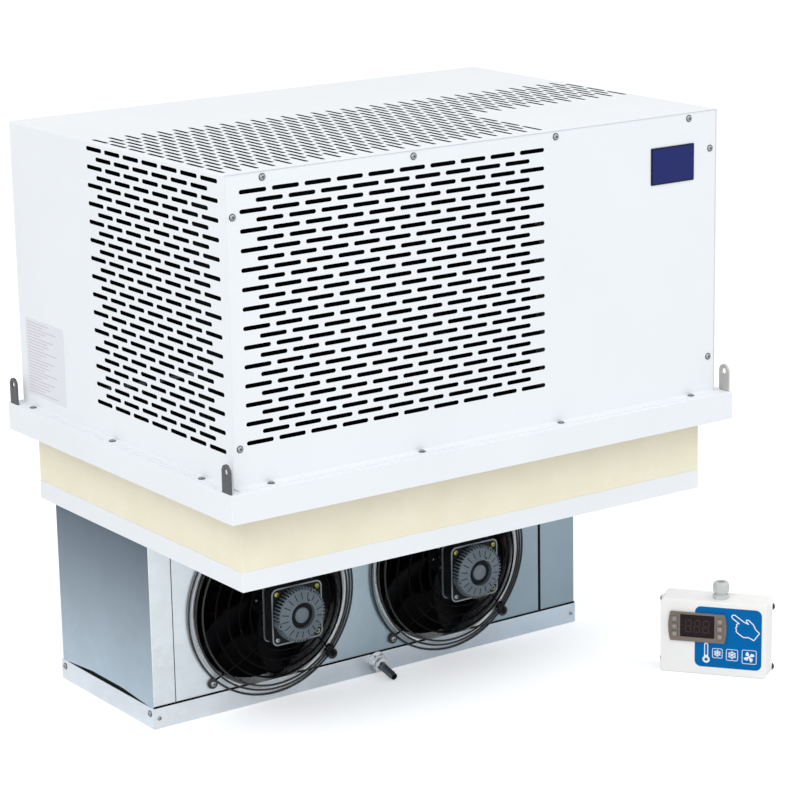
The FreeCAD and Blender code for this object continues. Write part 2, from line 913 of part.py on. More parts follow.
def motor_cap(x):
    """End cap of a motor: stepped hub recess between radial cooling ribs."""
    start = Vector(x, motor_back_y() - motor_depth, fan_z)
    rim = cap_depth * cap_rim_share
    shoulder = cap_radius * cap_shoulder_share
    well = shoulder * cap_recess_share
    body = turned([(cap_radius, 0), (cap_radius, rim), (shoulder, cap_depth - cap_bevel)],
                  cap_sides, start, Vector(0, -1, 0))
    recess = turned([(well, cap_depth - cap_recess_depth), (well, cap_depth)], cap_sides, start,
                    Vector(0, -1, 0))
    ribs = []
    for index in range(cap_ribs):
        rib = block(start.x + shoulder, start.y - cap_depth, fan_z - cap_rib / 2,
                    start.x + cap_radius - cap_bevel, start.y - cap_bevel, fan_z + cap_rib / 2)
        rib.rotate(start, Vector(0, 1, 0), index * 360 / cap_ribs)
        ribs.append(rib)
    return joined([body.cut(recess)] + ribs)


def blade(root, tip, chord):
    """Pressed fan blade about the X axis: two flats meeting in a camber line, pitched."""
    shapes = []
    for side in (-1, 1):
        pitch = math.radians(blade_pitch + side * blade_camber / 2)
        along = Vector(0, side * math.sin(pitch), side * math.cos(pitch))
        across = Vector(0, -math.cos(pitch), math.sin(pitch)) * (blade_thickness / 2)
        outline = [(root, 0.0), (tip, 0.0)]
        for share in (0.5, 1.0):
            v = chord / 2 * share
            outline.append((math.sqrt(tip ** 2 - (v * math.cos(pitch)) ** 2), v))
        outline += [(root * 2, chord / 2 * blade_shoulder_share),
                    (root, chord / 2 * blade_root_share)]
        points = [Vector(u, 0, 0) + along * v - across for u, v in outline]
        shapes.append(plate(points, across * 2))
    return shapes


def rotor(centre, hub, hub_length, tip, chord):
    """Axial fan: hub and pitched blades about the Y axis, inside the tip radius."""
    trim = hub_length / 2
    shapes = [turned([(hub, -trim), (hub, trim)], hub_sides, Vector(0, 0, 0), Vector(0, 1, 0))]
    reach = math.sqrt(tip ** 2 - blade_thickness ** 2)
    for piece in blade(hub * blade_in_hub_share, reach, chord):
        for index in range(blade_count):
            copy = piece.copy()
            copy.rotate(Vector(0, 0, 0), Vector(0, 1, 0), index * 360 / blade_count)
            shapes.append(copy)
    whole = joined(shapes)
    whole.translate(centre)
    return whole


def evaporator_rotor(x):
    """Fan wheel in its collar, with the shaft that runs into the motor."""
    centre = Vector(x, evap_front + collar_depth * rotor_seat, fan_z)
    wheel = rotor(centre, hub_radius, hub_depth, collar_radius - fan_tip_clearance,
                  evap_blade_chord)
    start = Vector(x, motor_back_y() - shaft_in_motor, fan_z)
    return joined([wheel, fan_shaft(start, centre)])


def condenser_box():
    """Left, right, front, back and top of the condenser coil."""
    x0 = -half_width + condenser_coil_from_left
    y0 = housing_front + condenser_coil_from_front
    top = pan_height + condenser_coil_height
    return x0, x0 + condenser_coil_width, y0, y0 + condenser_coil_depth, top


def condenser_coil():
    """Condenser fins behind the slotted front."""
    x0, x1, y0, y1, top = condenser_box()
    return fin_pack(Vector(x0, y0, pan_height), Vector(x1, y1, top), condenser_fin_pitch, False)


def condenser_fan_centre():
    """Centre of the condenser fan, in the plane of the shroud's plate."""
    x0, x1, _, y1, top = condenser_box()
    return Vector((x0 + x1) / 2, y1 + shroud_depth, (pan_height + top) / 2)


def fan_shroud():
    """Sheet box behind the coil with the fan's hole and two straps for the motor."""
    x0, x1, _, y1, top = condenser_box()
    wall = shroud_sheet
    y2 = y1 + shroud_depth
    outer = block(x0, y1, pan_height, x1, y2, top)
    cavity = block(x0 + wall, y1 - 1, pan_height + wall, x1 - wall, y2 - wall, top - wall)
    centre = condenser_fan_centre()
    radius = condenser_fan_radius + shroud_fan_clearance
    hole = turned([(radius, -3 * wall), (radius, wall)], collar_sides, centre, Vector(0, 1, 0))
    shapes = [outer.cut(cavity).cut(hole)]
    foot = radius + strap_width
    for z in (-strap_height, strap_height):
        low = centre.z + z - strap_width / 2
        near = [(-foot - strap_width, 0), (-foot, 0), (-foot + strap_rise, strap_rise - wall),
                (foot - strap_rise, strap_rise - wall), (foot, 0), (foot + strap_width, 0)]
        far = [(u, v + wall) for u, v in reversed(near)]
        points = [Vector(centre.x + u, y2 + v, low) for u, v in near + far]
        shapes.append(plate(points, Vector(0, 0, strap_width)))
    return joined(shapes)


def condenser_motor():
    """Round motor on the shroud's straps, with a bore for the fan's shaft."""
    start = condenser_fan_centre() + Vector(0, strap_rise, 0)
    radius = condenser_motor_radius
    length = condenser_motor_depth
    crown = radius * condenser_motor_crown_share
    body = turned([(radius, 0), (radius, length - condenser_motor_bevel), (crown, length)],
                  cap_sides, start, Vector(0, 1, 0))
    return body.cut(shaft_bore(start, Vector(0, 1, 0)))


def condenser_rotor():
    """Condenser fan wheel with the shaft that runs into its motor."""
    centre = condenser_fan_centre() - Vector(0, shroud_sheet / 2, 0)
    wheel = rotor(centre, condenser_hub_radius, condenser_hub_depth, condenser_fan_radius,
                  condenser_blade_chord)
    end = condenser_fan_centre() + Vector(0, strap_rise + shaft_in_motor, 0)
    return joined([wheel, fan_shaft(centre, end)])


def shell_flat():
    """Distance from the compressor's axis to the flats of its shell."""
    return compressor_radius * math.cos(math.pi / compressor_sides)


def compressor():
    """Hermetic compressor shell on its foot plate."""
    base = Vector(compressor_x, compressor_y, pan_height + grommet_height)
    half = foot_side / 2
    foot = block(base.x - half, base.y - half, base.z, base.x + half, base.y + half,
                 base.z + foot_sheet)
    radius = compressor_radius
    narrow = radius - compressor_shoulder
    height = compressor_height
    shell = turned([(narrow, 0), (radius, compressor_shoulder / 2),
                    (radius, height - compressor_shoulder), (narrow, height)],
                   compressor_sides, base, Vector(0, 0, 1))
    return joined([foot, shell])


def grommet_places():
    """Underside of the foot plate at its four corner holes."""
    reach = foot_side / 2 - foot_hole_inset
    z = pan_height + grommet_height
    return [Vector(compressor_x + a * reach, compressor_y + b * reach, z)
            for a in (-1, 1) for b in (-1, 1)]


def compressor_grommets():
    """Rubber feet between the compressor's foot plate and the pan."""
    profile = [(grommet_radius, -grommet_height), (grommet_radius, 0)]
    return Part.makeCompound([turned(profile, line_sides, place, Vector(0, 0, 1))
                              for place in grommet_places()])


def terminal_cover():
    """Cover over the terminals on the compressor's left flat."""
    x = compressor_x - shell_flat()
    z = pan_height + grommet_height + compressor_height / 3
    half = shell_flat() * math.tan(math.pi / compressor_sides)
    points = [(x, -half), (x - terminal_depth, -terminal_width / 2),
              (x - terminal_depth, terminal_width / 2), (x, half)]
    outline = [Vector(u, compressor_y + v, z) for u, v in points]
    return plate(outline, Vector(0, 0, terminal_height))


def suction_line():
    """Suction line from the evaporator up through the plug to the compressor."""
    end = Vector(compressor_x + shell_flat(), compressor_y, discharge_z)
    z = plug_bottom - 3 * line_bend
    return line([Vector(coil_half + coil_plate_sheet, suction_y, z),
                 Vector(line_x, suction_y, z),
                 Vector(line_x, suction_y, discharge_z),
                 Vector(line_x, compressor_y, discharge_z), end], suction_radius)


def discharge_line():
    """Discharge line from the compressor to the top of the condenser coil."""
    _, x1, y0, y1, _ = condenser_box()
    y_coil = (y0 + y1) / 2
    x = compressor_x
    y_shell = compressor_y - shell_flat()
    y_up = y_shell - 3 * line_bend
    return line([Vector(x, y_shell, discharge_z), Vector(x, y_up, discharge_z),
                 Vector(x, y_up, line_top_z), Vector(x, y_coil, line_top_z),
                 Vector(x1, y_coil, line_top_z)], liquid_radius)


def drier_start():
    """Inlet end of the filter drier, in front of the compressor."""
    y = compressor_y - compressor_radius - 4 * line_bend
    return Vector(compressor_x - drier_length / 2, y, liquid_z)


def filter_drier():
    """Filter drier with tapered ends in the liquid line."""
    taper = drier_radius
    profile = [(liquid_radius, 0), (drier_radius, taper), (drier_radius, drier_length - taper),
               (liquid_radius, drier_length)]
    return turned(profile, line_sides, drier_start(), Vector(1, 0, 0))


def liquid_line():
    """Liquid line from the condenser to the drier, and on down to the evaporator."""
    _, x1, y0, y1, _ = condenser_box()
    y_coil = (y0 + y1) / 2
    inlet = drier_start()
    outlet = inlet + Vector(drier_length, 0, 0)
    x = x1 + 2 * line_bend
    first = line([Vector(x1, y_coil, liquid_z), Vector(x, y_coil, liquid_z),
                  Vector(x, inlet.y, liquid_z), inlet], liquid_radius)
    z = plug_bottom - 3 * line_bend
    second = line([outlet, Vector(line_x, inlet.y, liquid_z), Vector(line_x, liquid_y, liquid_z),
                   Vector(line_x, liquid_y, z),
                   Vector(coil_half + coil_plate_sheet, liquid_y, z)], liquid_radius)
    return Part.makeCompound([first, second])


def electrical_box():
    """Sheet box for the switchgear, on the pan behind the blank front."""
    x1 = half_width - electrical_from_right
    y0 = housing_front + electrical_from_front
    return block(x1 - electrical_width, y0, pan_height, x1, y0 + electrical_depth,
                 pan_height + electrical_height)


def screw_head(place, out):
    """Hexagon-sided head seated on a face."""
    return turned([(screw_head_radius, 0), (screw_head_radius, screw_head_height)], screw_sides,
                  place, out)


def panel_screws():
    """Heads of the screws in the front and back panels."""
    top = housing_top - panel_screw_drop
    wide = half_width - panel_screw_inset
    xs = [-half_width + share * housing_width for share in panel_screw_shares]
    heights = (pan_height + panel_screw_low, housing_top - panel_screw_high)
    sides = [(x, z) for x in (-wide, wide) for z in heights]
    spots = [(x, top) for x in xs] + sides
    heads = []
    for x, z in spots:
        heads.append(screw_head(Vector(x, housing_front + panel_inset, z), Vector(0, -1, 0)))
        heads.append(screw_head(Vector(x, housing_back - panel_inset, z), Vector(0, 1, 0)))
    return Part.makeCompound(heads)


def lip_screws():
    """Heads of the screws that hold the housing's lips down on the pan."""
    z = pan_height + housing_sheet
    up = Vector(0, 0, 1)
    heads = []
    for share in lip_screw_shares:
        x = -half_width + share * housing_width
        heads.append(screw_head(Vector(x, housing_front + panel_inset - lip_screw_out, z), up))
        heads.append(screw_head(Vector(x, housing_back - panel_inset + lip_screw_out, z), up))
    for side in (-1, 1):
        for share in side_lip_screw_shares:
            y = housing_front + share * housing_depth
            heads.append(screw_head(Vector(side * (half_width + lip_screw_out), y, z), up))
    return Part.makeCompound(heads)


def tray_screws():
    """Heads of the screws and rivets at the drip tray's corners."""
    heads = []
    z = evap_bottom - tray_screw_drop
    for side in (-1, 1):
        x = side * (evap_half + drip_tray_proud)
        for y in (evap_front + tray_screw_inset, evap_back - tray_screw_inset):
            heads.append(screw_head(Vector(x, y, z), Vector(side, 0, 0)))
        face = evap_front - drip_tray_proud
        rivet = Vector(x - side * tray_screw_inset, face, evap_bottom - tray_rivet_drop)
        heads.append(screw_head(rivet, Vector(0, -1, 0)))
    return Part.makeCompound(heads)


def gland(place, out):
    """Cable gland with a hexagon foot, a neck and a domed nut, open for a cable."""
    neck_top = gland_hex_height + gland_neck_height
    top = neck_top + gland_dome_height
    foot = turned([(gland_hex, 0), (gland_hex, gland_hex_height)], gland_foot_sides, place, out)
    neck = turned([(gland_neck_radius, 0), (gland_neck_radius, neck_top)], gland_sides, place, out)
    wide = gland_hex * gland_nut_share
    shoulder = top - gland_dome_height * gland_crown_share
    dome = turned([(wide, neck_top), (wide * gland_taper_share, shoulder),
                   (gland_neck_radius, top)], gland_sides, place, out)
    bore = turned([(gland_bore_radius, -1), (gland_bore_radius, top + 1)], gland_sides, place, out)
    return joined([foot, neck]).cut(bore), dome.cut(bore)


def back_gland_places():
    """Where the mains and control leads leave the back panel."""
    y = housing_back - panel_inset
    x = half_width - back_gland_from_right
    return [Vector(x - index * back_gland_spacing, y, pan_height + back_gland_z)
            for index in range(2)]


def cable_glands():
    """The two glands on the back panel."""
    shapes = []
    for place in back_gland_places():
        shapes += gland(place, Vector(0, 1, 0))
    return Part.makeCompound(shapes)


def cut_corner_block(low, high, cut):
    """Block between two corners whose four fore-and-aft edges are cut off."""
    outline = [(low.x + cut, low.z), (high.x - cut, low.z), (high.x, low.z + cut),
               (high.x, high.z - cut), (high.x - cut, high.z), (low.x + cut, high.z),
               (low.x, high.z - cut), (low.x, low.z + cut)]
    return plate([Vector(u, low.y, v) for u, v in outline], Vector(0, high.y - low.y, 0))


def box_cover():
    """Moulded front shell with a window for the controller and bosses for the side screws."""
    half = box_width / 2
    outer = cut_corner_block(Vector(-half, 0, 0), Vector(half, box_cover_depth, box_height),
                             box_corner)
    wall = box_wall
    cavity = block(-half + wall, wall, wall, half - wall, box_cover_depth + 1, box_height - wall)
    shapes = [outer.cut(cavity)]
    for side in (-1, 1):
        x = side * (half - box_corner / 2)
        tip = side * (half + boss_reach)
        for z in (box_corner, box_height - box_corner - boss_width):
            boss = block(min(x, tip), box_cover_depth - boss_width, z,
                         max(x, tip), box_cover_depth, z + boss_width)
            shapes.append(boss.cut(cavity))
    x0, z0 = controller_origin()
    gap = window_clearance
    window = block(x0 - controller_width / 2 - gap, -1, z0 - controller_height / 2 - gap,
                   x0 + controller_width / 2 + gap, wall + 1, z0 + controller_height / 2 + gap)
    hole = turned([(gland_bore_radius, -2 * wall), (gland_bore_radius, 1)], gland_sides,
                  box_gland_place(), Vector(0, 0, 1))
    return joined(shapes).cut(Part.makeCompound([window, hole]))


def box_gland_place():
    """Seat of the cable gland on top of the control box."""
    return Vector(box_gland_x, box_cover_depth * box_gland_depth_share, box_height)


def box_base():
    """Moulded back shell of the control box."""
    half = box_width / 2
    y0 = box_cover_depth + box_seam
    y1 = box_cover_depth + box_base_depth
    outer = cut_corner_block(Vector(-half, y0, 0), Vector(half, y1, box_height), box_corner)
    wall = box_wall
    cavity = block(-half + wall, y0 - 1, wall, half - wall, y1 - wall, box_height - wall)
    return outer.cut(cavity)


def box_screws():
    """Screws in the bosses at the sides of the control box."""
    heads = []
    for side in (-1, 1):
        x = side * (box_width / 2 + boss_reach)
        for z in (box_corner + boss_width / 2, box_height - box_corner - boss_width / 2):
            place = Vector(x, box_cover_depth - boss_width / 2, z)
            heads.append(screw_head(place, Vector(side, 0, 0)))
    return Part.makeCompound(heads)


def controller_origin():
    """Centre of the controller on the box's front, from the box's own middle and foot."""
    x = -box_width / 2 + bezel_left + bezel_width / 2
    return x, bezel_bottom + bezel_height / 2


def key_places():
    """Centre of each key on the bezel, three in a column at each end."""
    x0, z0 = controller_origin()
    reach = bezel_width / 2 - key_column_inset
    return [Vector(x0 + side * reach, 0, z0 + row * key_pitch)
            for side in (-1, 1) for row in (1, 0, -1)]


def controller_body():
    """Bezel with bowed ends and the case behind it, with pockets for the display and keys."""
    x0, z0 = controller_origin()
    half_w = bezel_width / 2
    half_h = bezel_height / 2
    bow = half_w - bezel_bulge
    outline = [(-bow, -half_h), (bow, -half_h), (half_w, -half_h / 2), (half_w, half_h / 2),
               (bow, half_h), (-bow, half_h), (-half_w, half_h / 2), (-half_w, -half_h / 2)]
    front = plate([Vector(x0 + u, 0, z0 + v) for u, v in outline], Vector(0, -bezel_reach, 0))
    case = block(x0 - controller_width / 2, -1, z0 - controller_height / 2,
                 x0 + controller_width / 2, controller_depth, z0 + controller_height / 2)
    low, high = display_corners()
    pockets = [block(low.x, -bezel_reach - 1, low.z, high.x, -bezel_reach + display_recess,
                     high.z)]
    depth = key_depth - key_proud + key_travel + key_clearance
    wide = key_width / 2 + key_clearance
    tall = key_height / 2 + key_clearance
    for place in key_places():
        pockets.append(block(place.x - wide, -bezel_reach - 1, place.z - tall,
                             place.x + wide, -bezel_reach + depth, place.z + tall))
    return joined([front, case]).cut(Part.makeCompound(pockets))


def display_corners():
    """Lowest and highest corners of the display's pocket."""
    x0, z0 = controller_origin()
    return (Vector(x0 - display_width / 2, 0, z0 + display_lift - display_height / 2),
            Vector(x0 + display_width / 2, 0, z0 + display_lift + display_height / 2))


def display_window():
    """Dark window over the display."""
    low, high = display_corners()
    back = -bezel_reach + display_recess
    gap = window_clearance
    return block(low.x + gap, back - display_lens, low.z + gap, high.x - gap, back, high.z - gap)


def key(place):
    """One key, standing a little proud of the bezel."""
    front = -bezel_reach - key_proud
    return cut_corner_block(
        Vector(place.x - key_width / 2, front, place.z - key_height / 2),
        Vector(place.x + key_width / 2, front + key_depth, place.z + key_height / 2), key_corner)


def control_box():
    """The control box's nodes, turned and set down beside the unit."""
    nodes = {"control_box_cover": box_cover(), "control_box_base": box_base(),
             "control_box_screws": box_screws(), "controller_bezel": controller_body(),
             "controller_display": display_window()}
    for number, place in enumerate(key_places(), 1):
        nodes["control_key_%d" % number] = key(place)
    body, nut = gland(box_gland_place(), Vector(0, 0, 1))
    nodes["control_gland_body"] = body
    nodes["control_gland_nut"] = nut
    for shape in nodes.values():
        shape.rotate(Vector(0, 0, 0), Vector(0, 0, 1), box_turn)
        shape.translate(Vector(box_x, box_y, floor_z))
    return nodes


def condensing_side():
    """Nodes above the ceiling."""
    nodes = {
        "base_pan": base_pan(),
        "housing_shell": housing_shell(),
        "front_panel": front_panel(),
        "back_panel": back_panel(),
        "front_frame": panel_frame(housing_front + panel_inset + housing_sheet, 1),
        "rear_frame": panel_frame(housing_back - panel_inset - housing_sheet, -1),
        "panel_screws": panel_screws(),
        "lip_screws": lip_screws(),
        "cable_glands": cable_glands(),
        "condenser_coil": condenser_coil(),
        "fan_shroud": fan_shroud(),
        "condenser_motor": condenser_motor(),
        "condenser_rotor": condenser_rotor(),
        "compressor": compressor(),
        "compressor_grommets": compressor_grommets(),
        "terminal_cover": terminal_cover(),
        "suction_line": suction_line(),
        "discharge_line": discharge_line(),
        "liquid_line": liquid_line(),
        "filter_drier": filter_drier(),
        "electrical_box": electrical_box(),
        "suspension_lugs": suspension_lugs(),
    }
    return nodes


def cold_side():
    """Nodes of the plug and the evaporator below the ceiling."""
    nodes = {
        "foam_plug": foam_plug(),
        "plug_tray": plug_tray(),
        "evaporator_top_plate": evaporator_top_plate(),
        "evaporator_left_panel": casing_side(-1, left_strip),
        "evaporator_right_panel": casing_side(1, right_strip),
        "fan_panel": fan_panel(),
        "evaporator_coil": evaporator_coil(),
        "coil_end_plates": coil_end_plates(),
        "drip_tray": drip_tray(),
        "tray_screws": tray_screws(),
        "drain_nut": drain_nut(),
        "drain_pipe": drain_pipe(),
    }
    for name, x in fan_centres.items():
        nodes["fan_guard_" + name] = fan_guard(x)
        nodes["fan_motor_" + name] = evaporator_motor(x)
        nodes["motor_cap_" + name] = motor_cap(x)
        nodes["fan_rotor_" + name] = evaporator_rotor(x)
    return nodes


os.makedirs("parts", exist_ok=True)
for node, shape in {**condensing_side(), **cold_side(), **control_box()}.items():
    shape.exportStep("parts/" + node + ".step")
    print(node, len(shape.Solids), "solid(s), volume %.1f" % shape.Volume)
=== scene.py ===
"""Looks of a ceiling monoblock refrigeration unit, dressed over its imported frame."""
import logging
import math
from bisect import bisect_right
from dataclasses import dataclass, field
from enum import Enum
from typing import Sequence

import bpy
from mathutils import Matrix, Vector
from mathutils.geometry import delaunay_2d_cdt


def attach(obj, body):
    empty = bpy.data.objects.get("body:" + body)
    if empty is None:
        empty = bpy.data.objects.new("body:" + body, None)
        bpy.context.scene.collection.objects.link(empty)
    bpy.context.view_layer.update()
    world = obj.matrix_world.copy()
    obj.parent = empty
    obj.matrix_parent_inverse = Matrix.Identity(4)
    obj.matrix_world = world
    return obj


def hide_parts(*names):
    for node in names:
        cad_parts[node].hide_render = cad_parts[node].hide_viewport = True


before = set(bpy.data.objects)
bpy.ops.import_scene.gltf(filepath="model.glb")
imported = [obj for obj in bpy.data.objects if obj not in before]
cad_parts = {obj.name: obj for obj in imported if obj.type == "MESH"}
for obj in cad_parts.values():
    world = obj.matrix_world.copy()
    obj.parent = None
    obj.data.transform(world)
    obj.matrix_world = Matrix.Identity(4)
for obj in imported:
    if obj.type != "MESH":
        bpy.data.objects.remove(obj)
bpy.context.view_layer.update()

log = logging.getLogger("refrigeration_unit")

MM = 0.001
Pair = tuple[float, float]
Colour = tuple[float, float, float]
Loop = list[Pair]


class Body(str, Enum):
    """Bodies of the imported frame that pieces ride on."""

    UNIT = "unit"
    LEFT_FAN = "left_fan"
    RIGHT_FAN = "right_fan"
    CONDENSER_FAN = "condenser_fan"
    CONTROL_BOX = "control_box"


class Drive(Enum):
    """Ways in which a screw is turned."""

    CROSS = "cross"
    HEXAGON = "hexagon"
    RIVET = "rivet"


# Shader kit


def srgb(red: int, green: int, blue: int) -> Colour:
    """Linear colour of an 8-bit display colour."""
    parts = [channel / 255 for channel in (red, green, blue)]
    return tuple(c / 12.92 if c <= 0.04045 else ((c + 0.055) / 1.055) ** 2.4 for c in parts)


class Value:
    """An output socket of a material's nodes, with arithmetic on it."""

    def __init__(self, graph: "Graph", socket: bpy.types.NodeSocket) -> None:
        """Wrap a socket of a graph."""
        self.graph = graph
        self.socket = socket

    def _math(self, operation: str, first: object, second: object) -> "Value":
        """Add one Math or Vector Math node.

        Args:
            operation: The node's operation.
            first: First value or number.
            second: Second value or number.

        Returns:
            The node's result.
        """
        sockets = [x.socket.type for x in (first, second) if isinstance(x, Value)]
        several = "VECTOR" in sockets or "RGBA" in sockets
        kind = "ShaderNodeVectorMath" if several else "ShaderNodeMath"
        return self.graph.add(kind, {"operation": operation}, {0: first, 1: second})

    def __add__(self, other: object) -> "Value":
        """Sum of two values."""
        return self._math("ADD", self, other)

    def __radd__(self, other: object) -> "Value":
        """Sum with a number on the left."""
        return self._math("ADD", other, self)

    def __sub__(self, other: object) -> "Value":
        """Difference of two values."""
        return self._math("SUBTRACT", self, other)

    def __rsub__(self, other: object) -> "Value":
        """Difference from a number on the left."""
        return self._math("SUBTRACT", other, self)

    def __mul__(self, other: object) -> "Value":
        """Product of two values."""
        return self._math("MULTIPLY", self, other)

    def __rmul__(self, other: object) -> "Value":
        """Product with a number on the left."""
        return self._math("MULTIPLY", other, self)

    def __gt__(self, limit: object) -> "Value":
        """One where the value is over the limit, else zero."""
        return self._math("GREATER_THAN", self, limit)

    def __pow__(self, power: object) -> "Value":
        """The value raised to a power."""
        return self._math("POWER", self, power)


class Graph:
    """Node tree of one material, ending in a Principled surface."""

    def __init__(self, name: str) -> None:
        """Start a material with its Principled surface."""
        self.material = bpy.data.materials.new(name)
        self.material.use_nodes = True
        self.tree = self.material.node_tree
        self.surface = self.tree.nodes["Principled BSDF"]

    def add(self, kind: str, settings: dict | None = None, sockets: dict | None = None,
            out: int | str = 0) -> Value:
        """Add one node.

        Args:
            kind: Type of the node.
            settings: Settings of the node, which are set first; stops are a ramp's.
            sockets: Values or numbers of its input sockets.
            out: Output socket to return.

        Returns:
            The chosen output.
        """
        node = self.tree.nodes.new(kind)
        for key, value in (settings or {}).items():
            if key == "stops":
                self._set_stops(node, value)
            else:
                setattr(node, key, value)
        for key, value in (sockets or {}).items():
            self.plug(node.inputs[key], value)
        return Value(self, node.outputs[out])

    def _set_stops(self, node: bpy.types.Node, stops: Sequence[tuple[float, Colour]]) -> None:
        """Set the stops of a colour ramp."""
        elements = node.color_ramp.elements
        while len(elements) < len(stops):
            elements.new(0.5)
        for element, (place, colour) in zip(elements, stops):
            element.position = place
            element.color = (*colour, 1.0)

    def plug(self, socket: bpy.types.NodeSocket, value: object) -> None:
        """Link a value to a socket, or set the socket to a number or colour."""
        if isinstance(value, Value):
            self.tree.links.new(value.socket, socket)
        elif isinstance(value, (int, float)) and socket.type == "VECTOR":
            socket.default_value = (value,) * 3
        elif isinstance(value, tuple) and socket.type == "RGBA":
            socket.default_value = (*value, 1.0)
        else:
            socket.default_value = value

    def give(self, **sockets: object) -> None:
        """Set sockets of the surface by name, with underscores for spaces."""
        for key, value in sockets.items():
            self.plug(self.surface.inputs[key.replace("_", " ")], value)

    def place(self, stretch: Sequence[float] = (1.0, 1.0, 1.0)) -> Value:
        """Place on the object in millimetres, stretched along its axes."""
        here = self.add("ShaderNodeTexCoord", out="Object")
        scale = tuple(1 / (MM * part) for part in stretch)
        return self.add("ShaderNodeVectorMath", {"operation": "MULTIPLY"}, {0: here, 1: scale})

    def axis(self, name: str) -> Value:
        """Place on the object along one axis in millimetres."""
        return self.add("ShaderNodeSeparateXYZ", {}, {0: self.place()}, name)

    def noise(self, size: float, detail: float = 2.0,
              stretch: Sequence[float] = (1.0, 1.0, 1.0)) -> Value:
        """Cloudy noise.

        Args:
            size: Size of its features in millimetres.
            detail: Octaves of detail.
            stretch: How far it is drawn out along each axis.

        Returns:
            Noise from 0 to 1.
        """
        sockets = {"Vector": self.place(stretch), "Scale": 1 / size, "Detail": detail}
        return self.add("ShaderNodeTexNoise", {}, sockets)

    def cells(self, size: float, out: str = "Color") -> Value:
        """Cells such as the grains of zinc, about the given size in millimetres."""
        return self.add("ShaderNodeTexVoronoi", {}, {"Vector": self.place(), "Scale": 1 / size},
                        out)

    def mix(self, factor: object, first: object, second: object) -> Value:
        """Colour from first to second by a factor."""
        return self.add("ShaderNodeMix", {"data_type": "RGBA"}, {0: factor, 6: first, 7: second},
                        2)

    def ramp(self, factor: Value, *stops: tuple[float, Colour]) -> Value:
        """Colour of a factor on a ramp."""
        return self.add("ShaderNodeValToRGB", {"stops": stops}, {0: factor})

    def bump(self, height: Value, depth: float) -> None:
        """Feed a bump of the given depth in millimetres to the surface."""
        sockets = {"Height": height, "Distance": depth * MM, "Strength": 1.0}
        self.give(Normal=self.add("ShaderNodeBump", {}, sockets))


# Finishes


@dataclass(frozen=True)
class Finish:
    """Colour and gloss of a material; each kind adds its own grain."""

    title: str
    colour: Colour
    roughness: float = 0.5

    def material(self) -> bpy.types.Material:
        """The finish's material, made once."""
        made = bpy.data.materials.get(self.title)
        if made is None:
            graph = Graph(self.title)
            graph.give(Base_Color=self.colour, Roughness=self.roughness)
            self.shade(graph)
            made = graph.material
        return made

    def shade(self, graph: Graph) -> None:
        """Add the finish's grain to a graph."""
        raise NotImplementedError

    def tint(self, share: float) -> Colour:
        """The colour made lighter or darker by a share."""
        return tuple(min(1.0, part * share) for part in self.colour)


@dataclass(frozen=True)
class PowderCoat(Finish):
    """Satin powder coat with a fine orange-peel skin."""

    def shade(self, graph: Graph) -> None:
        """Orange peel, faint clouding and a thin clear skin."""
        cloud = graph.noise(160.0, 3.0)
        graph.give(Base_Color=graph.mix(cloud, self.tint(0.965), self.tint(1.02)),
                   Roughness=graph.noise(30.0) * 0.1 + (self.roughness - 0.05),
                   Coat_Weight=0.05, Coat_Roughness=0.2, Specular_IOR_Level=0.3)
        graph.bump(graph.noise(2.2, 1.0), 0.012)


Stops = tuple[tuple[float, Colour], ...]


@dataclass(frozen=True)
class Galvanized(Finish):
    """Zinc-coated sheet with spangle and rolling marks, coloured by painted shade and reflection.
    """

    spangle: float = 14.0
    rolling: tuple[float, float, float] = (40.0, 1.0, 1.0)
    # Painted shade and reflection: colours from left to right along the front, darker to the
    # right, and from the foot up the sides, darker towards the plug.
    front: Stops = ((0.0, (0.86, 0.92, 0.95)), (0.12, (0.8, 0.87, 0.92)),
                    (0.5, (0.4, 0.51, 0.58)), (1.0, (0.3, 0.4, 0.46)))
    side: Stops = ((0.0, (0.6, 0.72, 0.82)), (0.75, (0.21, 0.27, 0.32)), (1.0, (0.1, 0.14, 0.18)))

    def shade(self, graph: Graph) -> None:
        """Painted shade along the front and up the sides, spangle, and rolling marks in the gloss.
        """
        grain = graph.add("ShaderNodeSeparateColor", {}, {0: graph.cells(self.spangle)})
        streak = graph.noise(1.4, 3.0, self.rolling)
        shade = grain * 0.05 + graph.noise(90.0, 3.0) * 0.16 + streak * 0.05 + 0.87
        # Painted shade and reflection, set by the place across the casing and up its sides.
        run = (graph.axis("X") + 376.0) * (1 / 752.0)
        rise = (graph.axis("Z") + 380.0) * (1 / 280.0)
        across = graph.axis("X")
        is_side = across * across > CASING_SIDE ** 2
        painted_shade = graph.mix(is_side, graph.ramp(run, *self.front), graph.ramp(rise, *self.side))
        graph.give(Base_Color=painted_shade * shade, Metallic=0.72,
                   Roughness=self.roughness + grain * 0.06 + streak * 0.08)
        graph.bump(streak + grain * 0.1, 0.02)


@dataclass(frozen=True)
class BareMetal(Finish):
    """Machined, plated or drawn metal with fine scratches."""

    metallic: float = 0.95
    grain: float = 0.8

    def shade(self, graph: Graph) -> None:
        """Scratches and a slight change of tone."""
        scratch = graph.noise(self.grain, 3.0, (1.0, 1.0, 6.0))
        tone = graph.noise(9.0)
        graph.give(Base_Color=graph.mix(tone, self.tint(0.85), self.tint(1.1)),
                   Metallic=self.metallic, Roughness=self.roughness + scratch * 0.18)
        graph.bump(scratch, 0.02)


@dataclass(frozen=True)
class Enamel(Finish):
    """Smooth dark enamel or plastic dip, on wire, shells and blades."""

    coat: float = 0.3
    gloss: float = 0.5

    def shade(self, graph: Graph) -> None:
        """Dust in the colour and a fine skin."""
        dust = graph.noise(22.0, 4.0)
        graph.give(Base_Color=graph.mix(dust, self.tint(0.8), self.tint(1.35)),
                   Roughness=self.roughness + dust * 0.12, Coat_Weight=self.coat,
                   Coat_Roughness=0.15, Specular_IOR_Level=self.gloss)
        graph.bump(graph.noise(1.2), 0.02)


